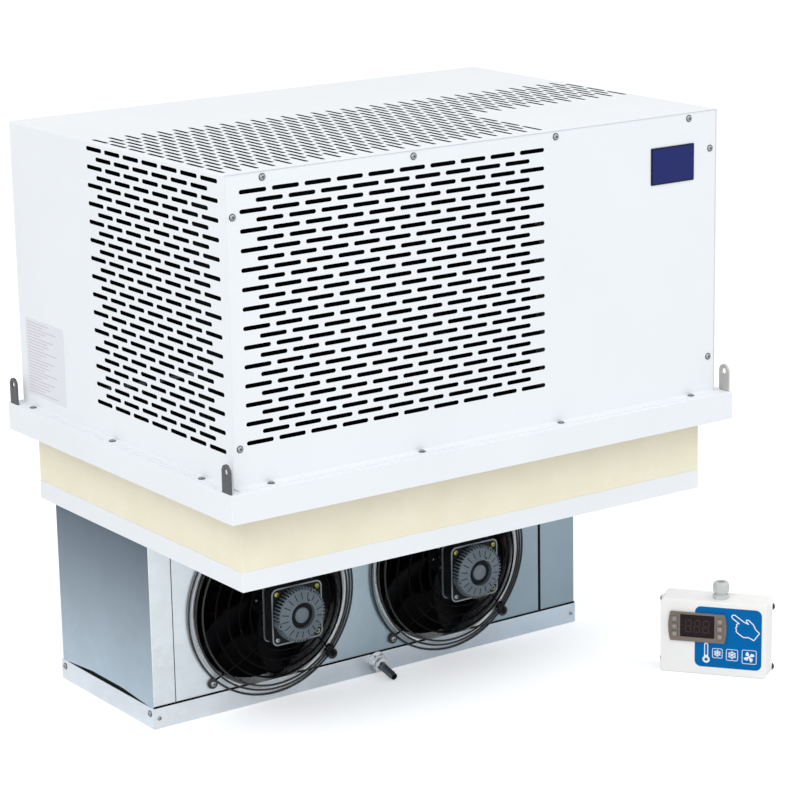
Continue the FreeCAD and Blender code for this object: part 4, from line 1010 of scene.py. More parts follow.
@dataclass
class Housing:
    """Slotted white housing on the base pan, with its screws, glands and plates."""

    half_width: float = 405.0
    front: float = -283.0
    back: float = 287.0
    foot: float = 40.0
    top: float = 447.0
    sheet: float = 1.2
    side_lip: float = 11.0
    front_lip: float = 14.0
    panel_inset: float = 1.0
    panel_gap: float = 1.7
    front_first: float = -382.4
    front_slots: int = 10
    front_rows: int = 27
    front_low: float = 97.5
    side_first: float = -268.5
    side_slots: int = 7
    side_rows: int = 29
    side_low: float = 87.2
    top_first: float = -394.5
    top_columns: int = 41
    all_columns: int = 64
    band_slots: int = 3
    slots: SlotPattern = SlotPattern()

    def build(self) -> None:
        """Build every piece of the housing."""
        self.shell()
        self.front_panel()
        self.back_panel()
        self.screws()
        self.badge()
        self.side_plate()
        self.glands()
        for name in ("front_frame", "rear_frame"):
            dress_node(name, ZINC, 0.3)

    def look(self) -> Dressing:
        """Powder coat outside; painted shade inside and on the rims of the slots."""
        return Dressing((WHITE, PAINTED_SHADE_BLACK), "white_paint")

    def shell(self) -> None:
        """Left side, top and right side in one fold, slotted on the left and on top."""
        foot = self.foot + self.sheet
        tip = self.half_width + self.side_lip
        corners = [(-tip, foot), (-self.half_width, foot), (-self.half_width, self.top),
                   (self.half_width, self.top), (self.half_width, foot), (tip, foot)]
        lift = Matrix(((1, 0, 0, 0), (0, 0, 1, 0), (0, 1, 0, 0), (0, 0, 0, 1)))
        sheet = FoldedSheet(corners, self.front, self.back, lift, self.sheet)
        for row in range(self.side_rows):
            height = self.side_low + row * self.slots.row_pitch
            reach = sheet.reach_at(1, height - foot)
            spots = self.slots.row(self.side_first, self.side_slots, bool(row % 2))
            sheet.holes += stadium_run([(reach, y) for y in spots], self.slots.length,
                                       self.slots.width, True)
        for column in range(self.all_columns):
            x = self.top_first + column * self.slots.row_pitch
            reach = sheet.reach_at(2, x + self.half_width)
            spots = self.slots.row(self.side_first, self.side_slots, bool(column % 2))
            if column >= self.top_columns:
                spots = spots[-self.band_slots:]
            sheet.holes += stadium_run([(reach, y) for y in spots], self.slots.length,
                                       self.slots.width, True)
        sheet.build("housing_skin", self.look(), ["housing_shell"])

    def front_panel(self) -> None:
        """Front sheet with its rows of slots over the coil."""
        face = self.front + self.panel_inset
        foot = self.foot + self.sheet
        half = self.half_width - self.panel_gap
        corners = [(face - self.front_lip, foot), (face, foot), (face, self.top - self.panel_gap)]
        lift = Matrix(((0, 0, 1, 0), (1, 0, 0, 0), (0, 1, 0, 0), (0, 0, 0, 1)))
        sheet = FoldedSheet(corners, -half, half, lift, self.sheet)
        for row in range(self.front_rows):
            height = self.front_low + row * self.slots.row_pitch
            reach = sheet.reach_at(1, height - foot)
            spots = self.slots.row(self.front_first, self.front_slots, bool(row % 2))
            sheet.holes += stadium_run([(reach, x) for x in spots], self.slots.length,
                                       self.slots.width, True)
        sheet.build("front_panel_skin", self.look(), ["front_panel"])

    def back_panel(self) -> None:
        """Back sheet with its two gland holes."""
        face = self.back - self.panel_inset
        foot = self.foot + self.sheet
        half = self.half_width - self.panel_gap
        corners = [(-face - self.side_lip, foot), (-face, foot),
                   (-face, self.top - self.panel_gap)]
        lift = Matrix(((0, 0, 1, 0), (-1, 0, 0, 0), (0, 1, 0, 0), (0, 0, 0, 1)))
        sheet = FoldedSheet(corners, -half, half, lift, self.sheet)
        for x in (345.0, 305.0):
            sheet.holes.append(circle(6.0, 20, (sheet.reach_at(1, 110.0 - foot), x)))
        sheet.build("back_panel_skin", self.look(), ["back_panel"])

    def screws(self) -> None:
        """Screws round the panels and along the lips."""
        heads = Shape()
        screw = ScrewHead()
        face, rear = self.front + self.panel_inset, self.back - self.panel_inset
        spots = [(x, self.top - 9.0) for x in (-347.5, -115.0, 119.1, 354.0)]
        spots += [(x, z) for x in (-393.0, 393.0) for z in (92.0, 392.0)]
        for x, z in spots:
            screw.add_to(heads, facing((x, face, z), (0, -1, 0)))
            screw.add_to(heads, facing((x, rear, z), (0, 1, 0)))
        look = Dressing(SCREW_FINISHES, "screw_steel")
        make_piece("panel_screw_heads", heads, look, nodes=["panel_screws"])
        lips = Shape()
        hexagon = ScrewHead(drive=Drive.HEXAGON)
        z = self.foot + self.sheet
        for x in (-351.54, -113.4, 121.5, 356.4):
            hexagon.add_to(lips, facing((x, face - 6.2, z), (0, 0, 1), (0, 1, 0)))
            hexagon.add_to(lips, facing((x, rear + 6.2, z), (0, 0, 1), (0, 1, 0)))
        for side in (-1, 1):
            for y in (-214.6, 19.1, 247.1):
                place = facing((side * (self.half_width + 6.2), y, z), (0, 0, 1), (0, 1, 0))
                hexagon.add_to(lips, place)
        make_piece("lip_screw_heads", lips, look, nodes=["lip_screws"])

    def badge(self) -> None:
        """Bare blue badge plate with a bevelled border in painted shade."""
        place = facing((0.0, self.front + self.panel_inset, 0.0), (0, -1, 0))
        low, high = (285.5, 351.0), (363.0, 403.0)
        shape = Shape().prism(rounded(low, high, 1.5), 0.02, 1.3, place, 1)
        inner = rounded((low[0] + 2.4, low[1] + 2.4), (high[0] - 2.4, high[1] - 2.4), 1.2)
        shape.prism(inner, 1.2, 1.9, place, 0)
        make_piece("badge_plate", shape, Dressing((BADGE_BLUE, BADGE_EDGE_SHADE), "white_paint", 0.45))

    def side_plate(self) -> None:
        """Blank data plate on the left side, ruled with short pale lines."""
        place = facing((-self.half_width, 0.0, 0.0), (-1, 0, 0))
        shape = Shape().prism(rounded((-269.0, 58.0), (-157.0, 170.0), 3.0), 0.02, 0.3, place, 0)
        for k in range(24):
            z = 164.0 - 4.4 * k
            length = (62.0, 46.0, 84.0, 54.0, 38.0, 76.0, 58.0)[k % 7]
            shape.box((-264.0, z, 0.2), (-264.0 + length, z + 1.3, 0.34), place, 1)
        make_piece("data_plate", shape, Dressing((PAPER, PAPER_LINE), "white_paint"))

    def glands(self) -> None:
        """Two cable glands on the back panel."""
        shape = Shape()
        for x in (345.0, 305.0):
            add_gland(shape, facing((x, self.back - self.panel_inset, 110.0), (0, 1, 0)))
        look = Dressing((DARK_PLASTIC,), "dark_plastic", 0.4)
        make_piece("back_glands", shape, look, nodes=["cable_glands"])


def add_gland(shape: Shape, place: Matrix, body: bool = True, nut: bool = True) -> None:
    """Add a cable gland: hexagon foot, threaded neck and domed nut with grips.

    Args:
        shape: Shape that takes it.
        place: Seat of the gland.
        body: Whether to add the foot and neck.
        nut: Whether to add the nut.
    """
    bore = 5.4
    if body:
        shape.plate(circle(12.4, 6), [circle(bore, 20)], 0.0, 5.9, place)
        thread = [(9.4, 5.5), (9.4, 6.2), (8.7, 6.7), (9.4, 7.2), (8.7, 7.7), (9.4, 8.2),
                  (8.7, 8.8), (9.4, 9.4), (9.4, 10.0)]
        shape.lathe(thread, place, 28)
    if nut:
        outer = [(bore, 10.2), (11.3, 10.2), (11.6, 11.0), (11.6, 20.4), (11.0, 22.6),
                 (9.6, 24.4), (8.2, 24.9), (bore, 24.9), (bore, 10.2)]
        shape.lathe(outer, place, 28)
        for k in range(14):
            turn = place @ Matrix.Rotation(math.tau * k / 14, 4, "Z")
            shape.box((10.8, -0.7, 11.2), (11.85, 0.7, 20.6), turn)


@dataclass
class BasePan:
    """Folded white pan on the ceiling and its four hanging lugs."""

    lug_x: float = 420.0
    lug_y: float = 289.0
    lug_low: float = 6.0
    lug_hole: float = 68.0
    lug_thick: float = 3.0

    def build(self) -> None:
        """Dress the pan and build the lugs."""
        dress_node("base_pan", WHITE, 0.9)
        lugs = Shape()
        crown = arc(0, 180, 10.0, 18, (0.0, self.lug_hole))
        outline = [(-10.0, self.lug_low), (10.0, self.lug_low)] + crown
        for side in (-1, 1):
            for y in (-self.lug_y, self.lug_y):
                place = facing((side * (self.lug_x - self.lug_thick), y, 0.0), (side, 0, 0))
                hole = circle(4.25, 24, (0.0, self.lug_hole))
                # Painted light and shade: right-hand lugs pale, left-hand lugs dark.
                lugs.plate(outline, [hole], 0.0, self.lug_thick, place, int(side > 0))
        look = Dressing((STEEL_IN_PAINTED_SHADE, STEEL_IN_PAINTED_LIGHT), "zinc_sheet", 0.35)
        make_piece("hanging_lugs", lugs, look, nodes=["suspension_lugs"])
        # Painted shade: a black sheet on the pan's floor inside the housing, where there is only
        # shade.
        passage = rounded((334.0, 134.0), (366.0, 212.0), 4.0)
        shade_sheet = Shape().plate(rounded((-388.0, -262.0), (388.0, 265.0), 6.0), [passage], 40.05, 40.4)
        make_piece("painted_shade_pan_sheet", shade_sheet, Dressing((PAINTED_SHADE_BLACK,), "rubber_black"))


@dataclass
class FinCoil:
    """Coil of thin upright fins on tubes that run across the unit."""

    name: str
    low: Vector
    high: Vector
    pitch: float
    rows: int
    lines: int
    tube: float = 4.8
    bend_reach: float = 9.0
    finishes: tuple[Finish, Finish] = (FINS, COPPER)

    def build(self) -> None:
        """Build the fins and the tubes with their return bends."""
        fins = Shape()
        count = int((self.high.x - self.low.x) // self.pitch)
        for k in range(count + 1):
            x = self.low.x + 0.2 + k * (self.high.x - self.low.x - 0.6) / count
            fins.box((x, self.low.y, self.low.z + 0.5), (x + 0.25, self.high.y, self.high.z - 0.5))
        make_piece(self.name + "_fins", fins, Dressing(self.finishes[:1], "coil_fins"),
                   nodes=[self.name])
        tubes = Shape()
        depth = (self.high.y - self.low.y) / self.rows
        rise = (self.high.z - self.low.z) / self.lines
        for row in range(self.rows):
            y = self.low.y + depth * (row + 0.5)
            heights = [self.low.z + rise * (k + 0.5) for k in range(self.lines)]
            for k, z in enumerate(heights):
                tubes.tube([(self.low.x - 3, y, z), (self.high.x + 3, y, z)], self.tube, 10)
                if k + 1 < self.lines:
                    end, way = (self.high.x + 3, 1) if (k + row) % 2 else (self.low.x - 3, -1)
                    bend = [(end + way * self.bend_reach * math.sin(a), y,
                             z + rise / 2 * (1 - math.cos(a)))
                            for a in (math.pi * s / 8 for s in range(9))]
                    tubes.tube(bend, self.tube, 10)
        make_piece(self.name + "_tubes", tubes, Dressing(self.finishes[1:], "copper"))


@dataclass
class AxialFan:
    """Fan wheel: hub and cambered blades about an axis along Y."""

    centre: Vector
    hub: float
    hub_length: float
    tip: float
    chord: float
    blades: int = 5
    pitch: float = 26.0
    camber: float = 16.0
    thick: float = 1.5

    def blade(self, turn: float) -> list[list[Vector]]:
        """Rows of points of one blade, swept forward and cambered along its chord."""
        rows = []
        for r in range(9):
            share = r / 8
            radius = self.hub * 0.9 + (self.tip - 0.6 - self.hub * 0.9) * share
            chord = self.chord * (0.45 + 0.55 * math.sin(math.pi * min(share * 0.75 + 0.1, 0.5)))
            row = []
            for c in range(13):
                along = (c / 12 - 0.5) * chord
                lean = math.radians(self.pitch)
                bow = (0.25 - (c / 12 - 0.5) ** 2) * chord * math.radians(self.camber) / 2
                around = along * math.cos(lean) / max(radius, self.hub * 1.25)
                depth = along * math.sin(lean) + bow - chord * 0.02
                angle = turn + around + 0.12 * math.sin(math.pi * share)
                round_off = radius if share < 0.99 else radius - 7.0 * (2 * c / 12 - 1) ** 6
                row.append(self.centre + Vector((round_off * math.cos(angle), -depth,
                                                 -round_off * math.sin(angle))))
            rows.append(row)
        return rows

    def build(self, name: str, body: Body, node: str, shaft: tuple[float, float],
              finishes: Sequence[Finish]) -> None:
        """Build the wheel.

        Args:
            name: Name of the piece.
            body: Body that it turns with.
            node: Node that it stands for.
            shaft: Y of the shaft's two ends.
            finishes: Finishes of the blades and of the shaft.
        """
        blades = Shape()
        for k in range(self.blades):
            blades.surface(self.blade(math.tau * k / self.blades))
        make_piece(name + "_blades", blades,
                   Dressing(finishes[:1], "fan_blades", skin=self.thick), body, [node])
        core = Shape()
        front = facing(self.centre, (0, -1, 0))
        half = self.hub_length / 2
        core.lathe([(0.0, -half), (self.hub * 0.94, -half), (self.hub, -half + 2),
                    (self.hub, half - 3), (self.hub * 0.88, half), (self.hub * 0.5, half),
                    (self.hub * 0.42, half - 2.5), (0.0, half - 2.5)], front, 40)
        for k in range(self.blades):
            angle = math.tau * (k + 0.5) / self.blades
            spot = front @ Matrix.Translation((self.hub * 0.7 * math.cos(angle),
                                               self.hub * 0.7 * math.sin(angle), half))
            core.lathe([(2.0, -1.0), (2.0, 0.6), (0.0, 0.9)], spot, 12, 1)
        low, high = sorted(shaft)
        axle = facing((self.centre.x, low, self.centre.z), (0, 1, 0))
        core.lathe([(0.0, 0.0), (3.6, 0.0), (4.0, 0.5), (4.0, high - low - 0.5),
                    (3.6, high - low), (0.0, high - low)], axle, 24, 1)
        make_piece(name + "_hub", core, Dressing(finishes, "fan_blades"), body)


@dataclass
class Condenser:
    """Coil, fan, compressor, lines and switch box inside the housing."""

    fan_centre: Vector = field(default_factory=lambda: Vector((-141.0, -163.0, 216.0)))
    shell: Vector = field(default_factory=lambda: Vector((222.0, 132.0, 58.0)))
    shell_radius: float = 87.2
    shell_height: float = 176.0

    def build(self) -> None:
        """Build or dress every piece inside the housing."""
        # The condenser coil, its tubes and the fan shroud are black: a black coating, and painted
        # shade for the housing's dark inside.
        FinCoil("condenser_coil", Vector((-383.0, -259.0, 40.5)), Vector((101.0, -209.0, 391.5)),
                4.0, 2, 11, finishes=(BLACK_COAT_AND_SHADE, BLACK_COAT_AND_SHADE)).build()
        # Painted shade: a black block from the coil's top to the housing's top, behind the slots.
        shade_block = Shape().prism(rounded((-383.0, -257.0), (101.0, -211.0), 3.0), 391.8, 444.0)
        make_piece("painted_shade_over_coil", shade_block, Dressing((PAINTED_SHADE_BLACK,), "rubber_black"))
        dress_node("fan_shroud", BLACK_COAT_AND_SHADE, 0.4)
        dress_node("electrical_box", BOX, 1.2)
        dress_node("terminal_cover", DARK_PLASTIC, 2.0)
        dress_node("compressor_grommets", RUBBER, 1.2)
        self.fan()
        self.compressor()
        self.lines()

    def fan(self) -> None:
        """Condenser fan wheel and its round motor."""
        hub = self.fan_centre - Vector((0.0, 0.6, 0.0))
        wheel = AxialFan(hub, 34.0, 30.0, 147.0, 76.0)
        wheel.build("condenser_fan", Body.CONDENSER_FAN, "condenser_rotor",
                    (hub.y, self.fan_centre.y + 42.0), (BLADE, SCREW))
        place = facing(self.fan_centre + Vector((0.0, 30.0, 0.0)), (0, 1, 0))
        motor = Shape().lathe([(4.2, 0.0), (38.0, 0.0), (42.0, 3.0), (42.0, 56.0), (39.0, 61.0),
                               (30.0, 66.0), (0.0, 66.0)], place, 48)
        # Painted shade in dark slots round the motor's shoulder.
        for k in range(24):
            turn = place @ Matrix.Rotation(math.tau * k / 24, 4, "Z")
            motor.box((37.0, -0.9, 40.0), (41.6, 0.9, 60.0), turn, 1)
        make_piece("condenser_motor_body", motor, Dressing((MOTOR, PAINTED_RECESS_SHADE), "motor_steel"),
                   nodes=["condenser_motor"])

    def compressor(self) -> None:
        """Welded compressor shell with its seam and foot plate."""
        place = Matrix.Translation(self.shell)
        r, h = self.shell_radius, self.shell_height
        profile = [(0.0, 3.0), (58.0, 3.0), (74.0, 6.0), (r - 3, 12.0), (r - 2, 22.0),
                   (r - 2, 80.0), (r, 82.0), (r, 90.0), (r - 3, 92.0), (r - 3, 140.0)]
        profile += [(r - 3 - 26 * (1 - math.cos(a)), 140.0 + 36.0 * math.sin(a))
                    for a in (math.pi / 2 * k / 8 for k in range(1, 9))]
        profile += [(30.0, h), (0.0, h)]
        shape = Shape().lathe(profile, place, 64)
        shape.plate(rounded((-88.0, -88.0), (88.0, 88.0), 14.0), [], 0.0, 3.0, place)
        look = Dressing((BLACK_SHELL,), "compressor_black", 0.8)
        make_piece("compressor_shell", shape, look, nodes=["compressor"])

    def lines(self) -> None:
        """Copper lines with drawn bends, and the drier."""
        x, y = self.shell.x, self.shell.y
        edge = self.shell_radius
        suction = [(334.5, 196, -141), (350, 196, -141), (350, 196, 150), (350, y, 150),
                   (x + edge, y, 150)]
        discharge = [(x, y - edge, 150), (x, y - edge - 36, 150), (x, y - edge - 36, 372),
                     (x, -234, 372), (101, -234, 372)]
        drier_y = y - 88.0 - 48.0
        inlet = [(101, -234, 84), (125, -234, 84), (125, drier_y, 84), (x - 48, drier_y, 84)]
        outlet = [(x + 48, drier_y, 84), (350, drier_y, 84), (350, 150, 84), (350, 150, -141),
                  (334.5, 150, -141)]
        routes = (("suction_pipe", suction, 6.0, "suction_line"),
                  ("discharge_pipe", discharge, 4.0, "discharge_line"),
                  ("liquid_pipe", inlet, 4.0, "liquid_line"),
                  ("liquid_pipe_to_valve", outlet, 4.0, "liquid_line"))
        for name, route, radius, node in routes:
            shape = Shape().tube(bent_route(route, 12.0), radius, 16)
            make_piece(name, shape, Dressing((COPPER,), "copper"), nodes=[node])
        place = facing((x - 48, drier_y, 84), (1, 0, 0))
        drier = Shape().lathe([(4.2, 0.0), (6.0, 3.0), (13.0, 13.0), (13.0, 83.0), (6.0, 93.0),
                               (4.2, 96.0)], place, 32)
        make_piece("drier_body", drier, Dressing((COPPER,), "copper"), nodes=["filter_drier"])


def bent_route(corners: Sequence[Sequence[float]], bend: float, steps: int = 8) -> list[Vector]:
    """Path of a pipe with an arc of the given radius at each square corner.

    Args:
        corners: Corners of the route.
        bend: Radius of each bend.
        steps: Segments in each bend.

    Returns:
        Points along the pipe.
    """
    points = [Vector(c) for c in corners]
    path = [points[0]]
    for before, here, after in zip(points, points[1:], points[2:]):
        into, out = (before - here).normalized(), (after - here).normalized()
        reach = min(bend, (before - here).length * 0.98, (after - here).length * 0.98)
        centre = here + (into + out) * reach
        for k in range(steps + 1):
            angle = math.pi / 2 * k / steps
            path.append(centre - out * reach * math.cos(angle) - into * reach * math.sin(angle))
    return path + [points[-1]]


# The plug and the evaporator below the ceiling


@dataclass
class CeilingPlug:
    """Foam plug and the white tray that closes its underside."""

    def build(self) -> None:
        """Dress the plug and its tray."""
        dress_node("foam_plug", FOAM, 0.8)
        dress_node("plug_tray", WHITE, 0.5)


@dataclass
class FanSet:
    """One evaporator fan: guard, motor, cap and wheel."""

    side: str
    body: Body
    x: float
    z: float = -231.5
    panel_face: float = 2.0
    guard_face: float = -2.8
    wire: float = 1.5
    rings: tuple[float, ...] = (138.0, 129.5, 121.5, 106.0, 91.0, 76.0, 61.0, 46.0)
    outer_rings: float = 120.0
    ceiling: float = -106.8
    reach: float = 40.0
    corners: tuple[float, ...] = (45.0, 135.0, 225.0, 315.0)
    eye: float = 6.0
    eye_at: float = 144.0
    motor_side: float = 84.0
    motor_depth: float = 24.0
    cap_radius: float = 40.0
    teeth: int = 48

    def build(self) -> None:
        """Build the guard, the motor, its cap and the wheel."""
        self.guard()
        self.fixings()
        self.motor()
        self.cap()
        wheel = AxialFan(Vector((self.x, 25.56, self.z)), 24.0, 22.0, 120.0, 74.0)
        back = self.guard_face - self.reach
        wheel.build("fan_" + self.side, self.body, "fan_rotor_" + self.side,
                    (25.5, back - 12.0), (BLADE, SCREW))

    def dome(self, radius: float) -> float:
        """How far a ring of a radius stands out in front of the rim."""
        if radius > 127.0:
            return (138.0 - radius) * 7.0 / 11.0
        return 7.0 + (self.reach - 7.0) * math.sin(math.pi / 2 * (127.0 - radius) / 81.0)

    def guard(self) -> None:
        """Wire rings, bent spokes and the eyes that they end in."""
        shape = Shape()
        middle = self.guard_face + self.wire
        for radius in self.rings:
            y = middle - self.dome(radius)
            ring = [(self.x + u, y, min(self.z + v, self.ceiling))
                    for u, v in circle(radius, 96)]
            shape.tube(ring, self.wire, 8, True, int(radius < self.outer_rings))
        for angle in self.corners:
            way = self.way(angle)
            centre = Vector((self.x, middle + self.wire, self.z))
            spoke = [centre + way * 137.5]
            spoke += [centre + way * r - Vector((0.0, self.dome(r), 0.0)) for r in self.rings]
            spoke.append(centre + way * 34.0 - Vector((0.0, self.reach, 0.0)))
            shape.tube(spoke, self.wire, 8, False, 1)
            across = Vector((-way.z, 0.0, way.x))
            loop = [centre + way * (self.eye_at + u) + across * v - Vector((0.0, 0.4, 0.0))
                    for u, v in circle(self.eye, 28)]
            shape.tube(loop, self.wire + 0.5, 8, True)
        make_piece("guard_" + self.side, shape, Dressing((WIRE, INNER_WIRE), "black_wire"),
                   nodes=["fan_guard_" + self.side])

    @staticmethod
    def way(angle: float) -> Vector:
        """Direction at an angle in the plane of the fan, from right towards up."""
        turn = math.radians(angle)
        return Vector((math.cos(turn), 0.0, math.sin(turn)))

    def fixings(self) -> None:
        """Screws in two eyes, and clips that hold the rim at the other two."""
        screws = Shape()
        clips = Shape()
        for angle in self.corners:
            face = facing(Vector((self.x, self.panel_face, self.z)), (0, -1, 0))
            turn = face @ Matrix.Rotation(math.radians(angle), 4, "Z")
            seat = turn @ Matrix.Translation((self.eye_at, 0.0, 0.0))
            if angle % 180 == 45:
                screws.lathe([(5.6, 0.0), (5.6, 3.6), (5.0, 4.0)], seat, 24)
                ScrewHead(4.4, 2.6).add_to(screws, seat @ Matrix.Translation((0, 0, 3.9)))
                continue
            clips.lathe([(3.6, 0.0), (3.6, 3.2), (2.8, 4.2), (0.0, 4.4)], seat, 20)
            middle = 129.5
            lean = math.atan2(self.dome(121.5) - self.dome(138.0), 138.0 - 121.5)
            spot = turn @ Matrix.Translation((middle, 0.0, 3.3 + self.dome(middle)))
            spot = spot @ Matrix.Rotation(lean, 4, "Y")
            for v in (-4.2, 4.2):
                clips.prism(rounded((-13.5, v - 1.7), (14.0, v + 1.7), 1.5, 3), -2.4, 3.0, spot)
            clips.prism(rounded((-9.0, -4.6), (9.5, 4.6), 1.5, 3), -1.8, 2.2, spot)
            for u in (-5.0, 5.0):
                clips.prism(rounded((u - 1.5, -9.0), (u + 1.5, 9.0), 1.4, 3), -2.0, 2.6, spot)
        make_piece("guard_screws_" + self.side, screws, Dressing(SCREW_FINISHES, "screw_steel"))
        make_piece("guard_clips_" + self.side, clips,
                   Dressing((BLACK_CLIP_AND_GAP_SHADE,), "dark_plastic", 0.4))

    def motor(self) -> None:
        """Square motor with flanges, laminations and corner screws."""
        back = self.guard_face - self.reach
        place = facing((self.x, back, self.z), (0, -1, 0))
        half, depth = self.motor_side / 2, self.motor_depth
        shape = Shape()
        flange = rounded((-half, -half), (half, half), 9.0)
        core = rounded((-half + 2.5, -half + 2.5), (half - 2.5, half - 2.5), 8.0)
        lamination = rounded((-half + 1.2, -half + 1.2), (half - 1.2, half - 1.2), 8.5)
        shape.prism(flange, 0.0, 2.4, place, 1)
        shape.prism(core, 2.2, depth - 2.8, place, 0)
        for k in range(7):
            low = 3.6 + k * 2.4
            shape.prism(lamination, low, low + 1.3, place, 0)
        shape.prism(flange, depth - 3.0, depth, place, 0)
        # Painted highlight: a pale ring round the edge of the front plate.
        inset = rounded((-half + 2.2, -half + 2.2), (half - 2.2, half - 2.2), 7.5)
        shape.plate(flange, [inset], depth, depth + 0.7, place, 1)
        look = Dressing((MOTOR, MOTOR_EDGE), "motor_steel", 0.4)
        make_piece("motor_" + self.side, shape, look, nodes=["fan_motor_" + self.side])
        screws = Shape()
        for u in (-1, 1):
            for v in (-1, 1):
                spot = place @ Matrix.Translation((u * 33.5, v * 33.5, depth))
                number = 2 if (u, v) == (-1, -1) else 0
                ScrewHead(3.8, 2.6).add_to(screws, spot, number)
        make_piece("motor_screws_" + self.side, screws,
                   Dressing((YELLOW_SCREW, PAINTED_RECESS_SHADE, SCREW), "screw_steel"))

    def cap(self) -> None:
        """Cast cap: toothed rim, grooved face, and a hub in a round recess."""
        back = self.guard_face - self.reach
        place = facing((self.x, back - self.motor_depth, self.z), (0, -1, 0))
        shape = Shape()
        # Finish 1 is painted shade in the hollows of the cap.
        shape.lathe([(36.2, 0.0), (36.2, 9.8)], place, 64, 1)
        shape.lathe([(36.2, 9.8), (36.0, 11.4), (34.6, 12.4), (21.8, 15.4), (20.8, 16.6),
                     (19.6, 16.6), (19.2, 15.8), (19.0, 9.6)], place, 64)
        shape.lathe([(19.0, 9.6), (11.6, 9.4)], place, 48, 1)
        shape.lathe([(11.6, 9.4), (11.4, 13.0), (10.4, 13.8), (3.0, 14.2), (0.0, 14.2)],
                    place, 48)
        tooth = [(35.6, -1.15), (38.9, -1.15), (self.cap_radius, -0.6), (self.cap_radius, 0.6),
                 (38.9, 1.15), (35.6, 1.15)]
        for k in range(self.teeth):
            turn = place @ Matrix.Rotation(math.tau * k / self.teeth, 4, "Z")
            shape.prism(tooth, 0.0, 10.6, turn)
            shape.prism([(u * 0.97 + 0.6, v * 0.8) for u, v in tooth], 10.4, 11.9, turn)
        slope = math.atan2(15.4 - 12.4, 34.6 - 21.8)
        for k in range(18):
            turn = place @ Matrix.Rotation(math.tau * (k + 0.5) / 18, 4, "Z")
            spot = turn @ Matrix.Translation((28.6, 0.0, 13.8)) @ Matrix.Rotation(slope, 4, "Y")
            shape.prism(stadium((0.0, 0.0), 10.5, 1.3), -0.6, 0.12, spot, 1)
        for angle in (57.0, 195.0, 311.0):
            turn = place @ Matrix.Rotation(math.radians(angle), 4, "Z")
            spot = turn @ Matrix.Translation((37.2, 0.0, 0.0))
            shape.lathe([(3.4, 0.0), (3.4, 12.6), (2.8, 13.2), (1.6, 13.2)], spot, 20)
            shape.lathe([(1.6, 13.2), (1.5, 12.2), (0.0, 12.2)], spot, 14, 1)
        spot = place @ Matrix.Translation((10.5, 20.5, 14.6))
        shape.lathe([(1.5, 0.0), (1.5, 1.0), (0.0, 1.0)], spot, 14, 1)
        look = Dressing((CAP, CAP_SHADE), "motor_cap_grey", crease=40.0)
        make_piece("cap_" + self.side, shape, look, nodes=["motor_cap_" + self.side])


